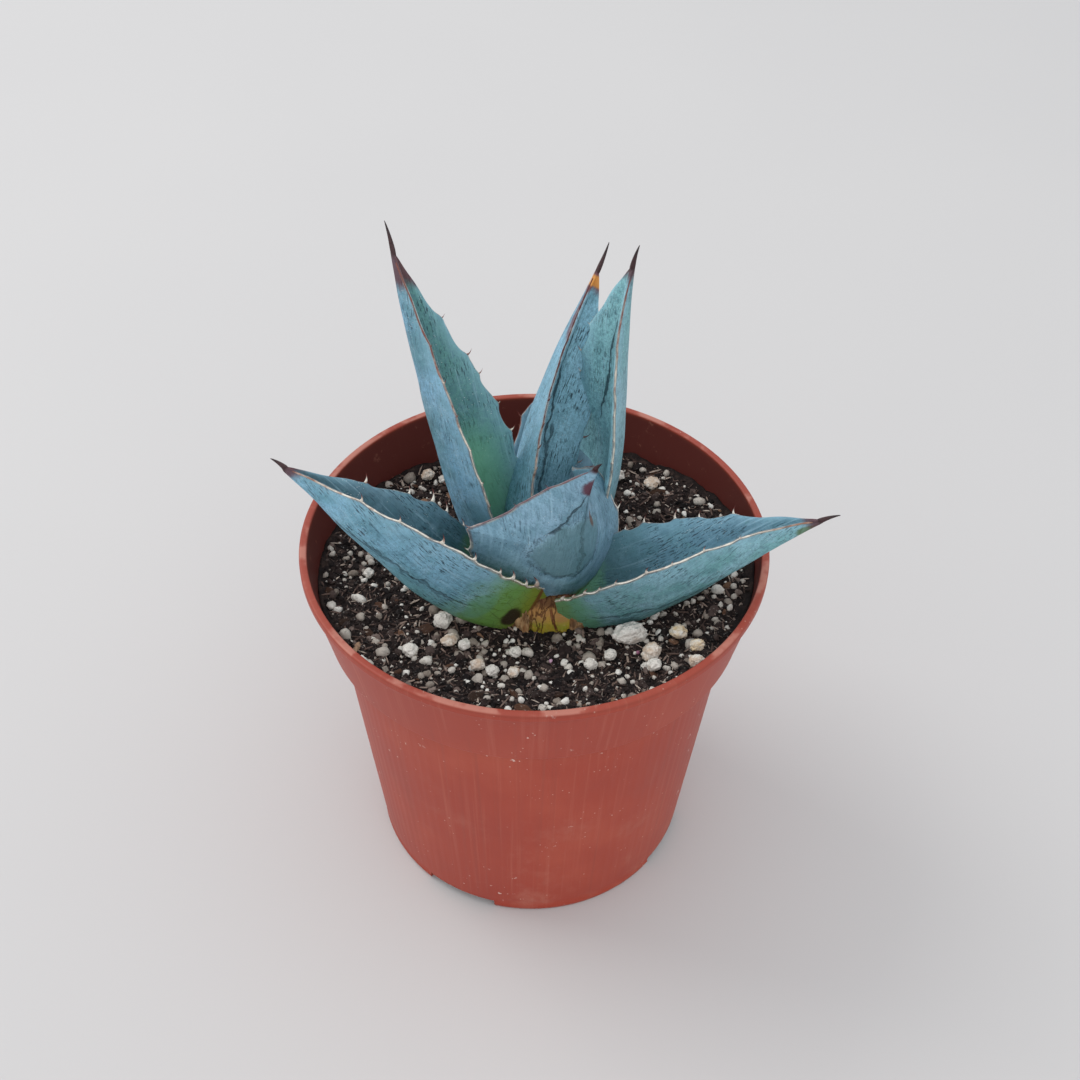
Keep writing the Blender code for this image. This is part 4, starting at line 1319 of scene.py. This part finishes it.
def build_soil(look):
    """The ground's top in fine rings, then the plug's side and its flat foot."""
    rings_count = 74
    segments = 220
    points = [(0.0, 0.0, soil_height(0, 0) + soil_relief(0, 0))]
    rings = []
    for r in range(1, rings_count + 1):
        ring = []
        for k in range(segments):
            turn = 2.0 * math.pi * k / segments
            edge = soil_edge(turn)[0] - 0.1
            x = edge * r / rings_count * math.cos(turn)
            y = edge * r / rings_count * math.sin(turn)
            ring.append(len(points))
            points.append((x, y, soil_height(x, y) + soil_relief(x, y)))
        rings.append(ring)
    low = POT_HEIGHT - COLLAR_HEIGHT
    foot = NOTCH_HEIGHT + GAP + 1.0
    inset = WALL + GAP
    for radius, height in ((COLLAR_FOOT_RADIUS - inset, low + inset),
                           (SHOULDER_RADIUS - inset, low + GAP * 0.4),
                           (body_radius(low * 0.5) - inset, low * 0.5),
                           (body_radius(foot) - inset, foot)):
        ring = []
        for k in range(segments):
            turn = 2.0 * math.pi * k / segments
            ring.append(len(points))
            points.append((radius * math.cos(turn), radius * math.sin(turn), height))
        rings.append(ring)
    bottom = len(points)
    points.append((0.0, 0.0, foot))
    faces = []
    for k in range(segments):
        n = (k + 1) % segments
        faces.append((0, rings[0][k], rings[0][n]))
        faces.append((bottom, rings[-1][n], rings[-1][k]))
        for a, b in zip(rings, rings[1:]):
            faces.append((a[k], b[k], b[n], a[n]))
    soil = finished("soil_bed", points, faces, [look])
    return belongs(soil, ["soil"])


@once
def scatter_tree():
    """Irregular crumbs spread over a surface, each its own size, turn and shade."""
    t = Tree("scattered crumbs", Spacing="float", Density="float", Smallest="float",
             Largest="float", Flatness="float", Stretch="float", Roughness="float",
             Sink="float", Tilt="float", Seed="int", Detail="int", Finish="material")
    spots = t.node("GeometryNodeDistributePointsOnFaces", {"distribute_method": "POISSON"},
                   {"Mesh": t.given("Geometry"), "Distance Min": t.given("Spacing"),
                    "Density Max": t.given("Density"), "Seed": t.given("Seed")})
    crumb = t.node("GeometryNodeMeshIcoSphere", None,
                   {"Radius": 1.0, "Subdivisions": t.given("Detail")})
    chance = t.spread(0.0, 1.0, 11)
    t.tree.links.new(t.given("Seed"), chance.node.inputs["Seed"])
    span = t.math("SUBTRACT", t.given("Largest"), t.given("Smallest"))
    size = t.math("ADD", t.given("Smallest"),
                  t.math("MULTIPLY", span, t.math("POWER", chance, 2.4)))
    uneven = t.spread_vector((0.7, 0.7, 0.6), (1.25, 1.25, 1.0), 5)
    flat = t.node("ShaderNodeCombineXYZ", None,
                  {0: t.given("Stretch"), 1: 1.0, 2: t.given("Flatness")})
    scale = t.scaled(t.vector("MULTIPLY", uneven, flat), size)
    turn = t.scaled(t.spread_vector((-1.0, -1.0, 0.0), (1.0, 1.0, 0.0), 7), t.given("Tilt"))
    turn = t.vector("ADD", turn, t.spread_vector((0.0, 0.0, 0.0), (0.0, 0.0, 6.28), 9))
    made = t.node("GeometryNodeInstanceOnPoints", None,
                  {"Points": spots, "Instance": crumb, "Rotation": turn, "Scale": scale})
    made = t.store(made, "shade", t.spread(0.0, 1.0, 23), "INSTANCE")
    made = t.store(made, "size", size, "INSTANCE")
    made = t.node("GeometryNodeRealizeInstances", None, {"Geometry": made})
    place = t.node("GeometryNodeInputPosition")
    wide = t.attribute("size")
    frequency = t.math("DIVIDE", 0.9, wide)
    rugged = t.node("ShaderNodeTexNoise", None,
                    {"Vector": place, "Scale": frequency, "Detail": 3.0})
    push = t.math("MULTIPLY", t.math("SUBTRACT", rugged, 0.5),
                  t.math("MULTIPLY", t.given("Roughness"), wide))
    normal = t.node("GeometryNodeInputNormal")
    drop = t.node("ShaderNodeCombineXYZ", None,
                  {0: 0.0, 1: 0.0, 2: t.math("MULTIPLY", wide, t.given("Sink"))})
    offset = t.vector("ADD", t.scaled(normal, push), drop)
    made = t.node("GeometryNodeSetPosition", None, {"Geometry": made, "Offset": offset})
    return t.finish(made, t.given("Finish"))


def ground_patch(name, clear):
    """A copy of the ground's top for scattering on, without what stands in it."""
    step = 1.6
    count = int(RIM_RADIUS / step)
    points = []
    index = {}
    for i in range(-count, count + 1):
        for j in range(-count, count + 1):
            x = i * step
            y = j * step
            if math.hypot(x, y) > soil_edge(math.atan2(y, x))[0] - 1.0:
                continue
            if math.hypot(x - STEM_X, y - STEM_Y) < clear:
                continue
            index[i, j] = len(points)
            points.append((x, y, soil_height(x, y) + soil_relief(x, y)))
    faces = []
    for (i, j), a in index.items():
        corners = [index.get(key) for key in ((i + 1, j), (i + 1, j + 1), (i, j + 1))]
        if None not in corners:
            faces.append((a, *corners))
    made = finished(name, points, faces, [])
    if made.data.polygons[0].normal.z < 0:
        made.data.flip_normals()
    return made


def scatter(looks, name, slot, look, clear, spacing, density, smallest, largest, rough, seed,
            flat=1.0, stretch=1.0, tilt=0.6, sink=0.0, detail=2, smooth=True):
    """Crumbs of one kind over the ground, from clear millimetres off the stem outwards."""
    ground = ground_patch(name, clear)
    values = {"Spacing": spacing * MM, "Density": density / MM ** 2,
              "Smallest": smallest * MM, "Largest": largest * MM,
              "Flatness": flat, "Stretch": stretch, "Tilt": tilt, "Roughness": rough,
              "Sink": sink, "Seed": seed, "Detail": detail, "Finish": looks[look]}
    use_tree(ground, scatter_tree(), values)
    applied(ground)
    if smooth:
        ground.data.shade_smooth()
    else:
        ground.data.shade_flat()
    return belongs(ground, [])


def crumb_finish(name, stops, rough=0.85):
    """Matt crumbs, each with its own shade from the stops."""
    look = Finish(name, Specular_IOR_Level=0.2)
    shade = look.attribute("shade", "Fac")
    place = look.object_place()
    fine = look.noise(place, 900.0, 5.0, 0.7)
    colour = look.ramp(shade, stops)
    colour = look.mix(fine.above(0.5, 0.7) * 0.45, colour, tone(60, 48, 42))
    bright = look.noise(place, 1600.0, 2.0).above(0.6, 0.75)
    colour = look.mix(bright * 0.25, colour, tone(214, 206, 198))
    return look.out(Base_Color=colour, Roughness=rough, Normal=look.bump(fine, 0.0003, 0.9))


def perlite_finish(name, base, pit):
    look = Finish(name, Specular_IOR_Level=0.25)
    place = look.object_place()
    pores = look.cells(place, 1500.0)
    clouds = look.noise(place, 500.0, 5.0, 0.65)
    colour = look.mix(clouds.above(0.35, 0.7), base, tone(232, 226, 218))
    colour = look.mix(pores.above(0.16, 0.05) * 0.75, colour, pit)
    stain = look.noise(place, 260.0, 3.0).above(0.56, 0.7)
    colour = look.mix(stain * 0.5, colour, tone(150, 128, 108))
    return look.out(Base_Color=colour, Roughness=0.85 + clouds * 0.1,
                    Normal=look.bump(clouds * 0.6 + pores * 0.6, 0.0004, 0.9))


def stone_finishes():
    return {
        "white": perlite_finish("perlite_white", tone(208, 202, 194), tone(132, 120, 110)),
        "tan": perlite_finish("grit_tan", tone(196, 172, 150), tone(112, 88, 70)),
        "cream": perlite_finish("grit_cream", tone(208, 182, 142), tone(120, 86, 52)),
        "grey": perlite_finish("grit_grey", tone(172, 168, 162), tone(104, 98, 94)),
    }


# The large grains: x, y, three half sizes, turn and stone.
GRAINS = [
    (24.5, -24.7, 4.4, 2.8, 2.6, 22, "white"),
    (29.1, -32.4, 2.6, 2.1, 2.0, 60, "tan"),
    (36.2, -25.5, 2.2, 1.8, 1.6, 10, "cream"),
    (40.2, -31.4, 1.9, 1.7, 1.4, 40, "cream"),
    (-22.8, -18.6, 2.3, 2.4, 1.9, 0, "white"),
    (-20.8, -25.7, 2.2, 1.6, 1.3, 30, "tan"),
    (-29.9, -31.3, 1.8, 1.9, 1.5, 15, "white"),
    (-17.0, -26.9, 1.6, 1.5, 1.4, 70, "white"),
    (-4.2, -28.6, 1.5, 1.5, 1.3, 0, "white"),
    (-13.4, -33.7, 1.8, 1.5, 1.4, 25, "tan"),
    (-9.6, -35.7, 1.6, 1.5, 1.3, 50, "white"),
    (-4.5, -36.6, 1.5, 1.4, 1.2, 80, "tan"),
    (14.4, -34.3, 1.6, 1.5, 1.4, 10, "white"),
    (29.6, -37.0, 1.8, 1.7, 1.4, 35, "white"),
    (19.3, -30.6, 1.6, 1.4, 1.2, 65, "white"),
    (39.6, -38.0, 2.0, 1.7, 1.4, 5, "tan"),
    (-43.2, -2.7, 1.4, 1.3, 1.2, 45, "white"),
    (-30.6, 37.7, 1.8, 1.6, 1.5, 20, "tan"),
    (23.2, 39.3, 1.9, 1.7, 1.3, 75, "grey"),
    (32.3, 34.1, 2.2, 1.8, 1.2, 30, "tan"),
]


def build_grain(index, looks):
    """A pitted lump that lies on the ground, flattened where it rests."""
    x, y, a, b, c, turn, tint = GRAINS[index]
    edit = bmesh.new()
    bmesh.ops.create_icosphere(edit, subdivisions=5, radius=1.0)
    turn = math.radians(turn)
    seed = index * 1.37
    for v in edit.verts:
        p = v.co.copy()
        drift = Vector((seed * 3.0, seed, 0.0))
        bump = 1.0 + 0.26 * noise.noise(p * 1.3 + drift)
        bump += 0.13 * noise.noise(p * 3.3 + drift)
        bump += 0.06 * noise.noise(p * 8.0 + drift)
        pits = noise.voronoi(p * 3.6 + drift)[0][0]
        bump -= 0.1 * max(0.0, 0.35 - pits)
        v.co = Vector((p.x * a * bump, p.y * b * bump, max(p.z, -0.7) * c * bump))
    lowest = min(v.co.z for v in edit.verts)
    points = []
    ground = soil_height(x, y) + 0.1
    for v in edit.verts:
        px = v.co.x * math.cos(turn) - v.co.y * math.sin(turn)
        py = v.co.x * math.sin(turn) + v.co.y * math.cos(turn)
        points.append((x + px, y + py, ground + v.co.z - lowest))
    faces = [tuple(v.index for v in f.verts) for f in edit.faces]
    edit.free()
    name = f"grain_{index + 1:02d}"
    grain = finished(name + "_stone", points, faces, [looks[tint]])
    return belongs(grain, [name])


# What is scattered on the ground, in millimetres, with the density per square millimetre.
SCATTERS = [
    dict(name="peat_coarse", slot="soil_peat", look="peat", clear=7.0, spacing=1.3, density=0.5,
         smallest=0.4, largest=1.5, rough=2.4, seed=3, flat=0.75, smooth=False),
    dict(name="peat_fine", slot="soil_peat", look="peat", clear=7.0, spacing=0.62, density=1.6,
         smallest=0.2, largest=0.65, rough=2.2, seed=8, detail=1, smooth=False),
    dict(name="peat_fibres", slot="soil_peat", look="fibre", clear=7.0, spacing=0.75,
         density=1.4, smallest=0.09, largest=0.32, rough=1.2, seed=15, detail=1, stretch=6.5,
         flat=0.7, sink=1.2, tilt=0.35, smooth=False),
    dict(name="bark_chips", slot="soil_peat", look="bark", clear=9.0, spacing=4.5, density=0.02,
         smallest=0.6, largest=1.5, rough=1.4, seed=31, stretch=1.8, flat=0.45, sink=0.3,
         smooth=False),
    dict(name="perlite_small", slot="grain_white", look="white", clear=17.0, spacing=1.5,
         density=0.16, smallest=0.28, largest=1.15, rough=1.7, seed=21, sink=0.35),
    dict(name="perlite_large", slot="grain_white", look="white", clear=19.0, spacing=4.2,
         density=0.026, smallest=0.9, largest=1.9, rough=1.5, seed=44, sink=0.35),
    dict(name="feed_granules", slot="grain_cream", look="pink", clear=19.0, spacing=14.0,
         density=0.0016, smallest=0.6, largest=1.1, rough=1.0, seed=52, sink=0.4),
]


def crumb_finishes():
    peat = [(0.0, tone(15, 11, 12)), (0.45, tone(30, 23, 23)), (0.75, tone(50, 39, 37)),
            (0.92, tone(84, 70, 66)), (1.0, tone(136, 120, 112))]
    fibre = [(0.0, tone(24, 18, 18)), (0.4, tone(62, 48, 44)), (0.7, tone(104, 84, 76)),
             (0.9, tone(154, 134, 122)), (1.0, tone(196, 180, 166))]
    bark = [(0.0, tone(44, 30, 24)), (0.5, tone(84, 58, 44)), (0.85, tone(122, 92, 72)),
            (1.0, tone(160, 128, 104))]
    white = [(0.0, tone(128, 116, 106)), (0.3, tone(176, 166, 156)), (0.7, tone(212, 205, 196)),
             (1.0, tone(232, 228, 221))]
    pink = [(0.0, tone(150, 96, 120)), (0.5, tone(184, 120, 150)), (1.0, tone(206, 166, 190))]
    return {
        "peat": crumb_finish("peat_crumbs", peat),
        "fibre": crumb_finish("peat_fibres", fibre),
        "bark": crumb_finish("bark_chips", bark),
        "white": crumb_finish("perlite_bits", white, 0.9),
        "pink": crumb_finish("feed_granules", pink, 0.6),
    }


# ---------------------------------------------------------------- stage


FLOOR_HALF_SIZE = 9000.0


def build_stage():
    look = Finish("floor_cloth", Specular_IOR_Level=0.1)
    place = look.object_place()
    clouds = look.noise(place, 3.0, 2.0)
    colour = look.mix(clouds, tone(197, 195, 195), tone(203, 201, 200))
    look.out(Base_Color=colour, Roughness=0.95)
    size = FLOOR_HALF_SIZE
    corners = [(-size, -size, 0), (size, -size, 0), (size, size, 0), (-size, size, 0)]
    floor = finished("floor", corners, [(0, 1, 2, 3)], [look.material])


LIT_POINT = Vector((0.0, 0.0, 0.08))


def area_light(name, place, size, power, colour):
    """A square light that faces the plant, in metres and watts."""
    data = bpy.data.lights.new(name, "AREA")
    data.shape = "SQUARE"
    data.size = size
    data.energy = power
    data.color = colour
    made = bpy.data.objects.new(name, data)
    bpy.context.scene.collection.objects.link(made)
    made.location = place
    made.rotation_euler = (LIT_POINT - Vector(place)).to_track_quat("-Z", "Y").to_euler()


def build_lights():
    world = bpy.data.worlds.new("soft_room")
    bpy.context.scene.world = world
    world.use_nodes = True
    back = world.node_tree.nodes["Background"]
    back.inputs["Color"].default_value = (0.94, 0.97, 1.0, 1.0)
    back.inputs["Strength"].default_value = 0.96
    area_light("window", (-1.08, 0.5, 1.45), 0.95, 11.0, (1.0, 0.99, 0.97))
    area_light("room", (0.3, -1.5, 1.6), 1.6, 6.0, (1.0, 0.98, 0.96))


CAMERA_PLACE = Vector((0.0014254, -0.2670238, 0.3552741))
CAMERA_TARGET = Vector((0.0014254, 0.0, 0.1030900))
CAMERA_ROLL = math.radians(1.03)
CAMERA_LENS = 47.52
CAMERA_SENSOR = 36.0


def build_camera():
    data = bpy.data.cameras.new("camera")
    data.lens = CAMERA_LENS
    data.sensor_width = CAMERA_SENSOR
    data.clip_start = 0.01
    made = bpy.data.objects.new("camera", data)
    bpy.context.scene.collection.objects.link(made)
    forward = (CAMERA_TARGET - CAMERA_PLACE).normalized()
    right = forward.cross(Vector((0, 0, 1))).normalized()
    up = right.cross(forward)
    side = right * math.cos(CAMERA_ROLL) + up * math.sin(CAMERA_ROLL)
    top = up * math.cos(CAMERA_ROLL) - right * math.sin(CAMERA_ROLL)
    turn = Matrix((side, top, -forward)).transposed()
    made.matrix_world = Matrix.Translation(CAMERA_PLACE) @ turn.to_4x4()
    bpy.context.scene.camera = made


# ---------------------------------------------------------------- everything together


def build_agave():
    build_camera()
    build_stage()
    build_lights()
    bpy.context.scene.view_settings.view_transform = "Standard"
    build_pot()
    build_soil(peat_finish())
    skins = leaf_finishes()
    horns = horn_finishes()
    for name, row in LEAVES.items():
        build_leaf(name, row, skins[name], horns[name])
    build_stem(stem_finish())
    build_bud(leaf_skin("shoot", tone(136, 168, 160), tone(136, 168, 160), tone(108, 146, 138),
                        green_to=0.2, tip_from=0.92))
    husks = {"brown": stub_finish(),
             "straw": husk_finish("husk_straw", tone(202, 168, 124), tone(140, 98, 62))}
    for row in HUSKS:
        build_husk(*row, husks)
    stones = stone_finishes()
    for index in range(len(GRAINS)):
        build_grain(index, stones)
    crumbs = crumb_finishes()
    for row in SCATTERS:
        scatter(crumbs, **row)


build_agave()
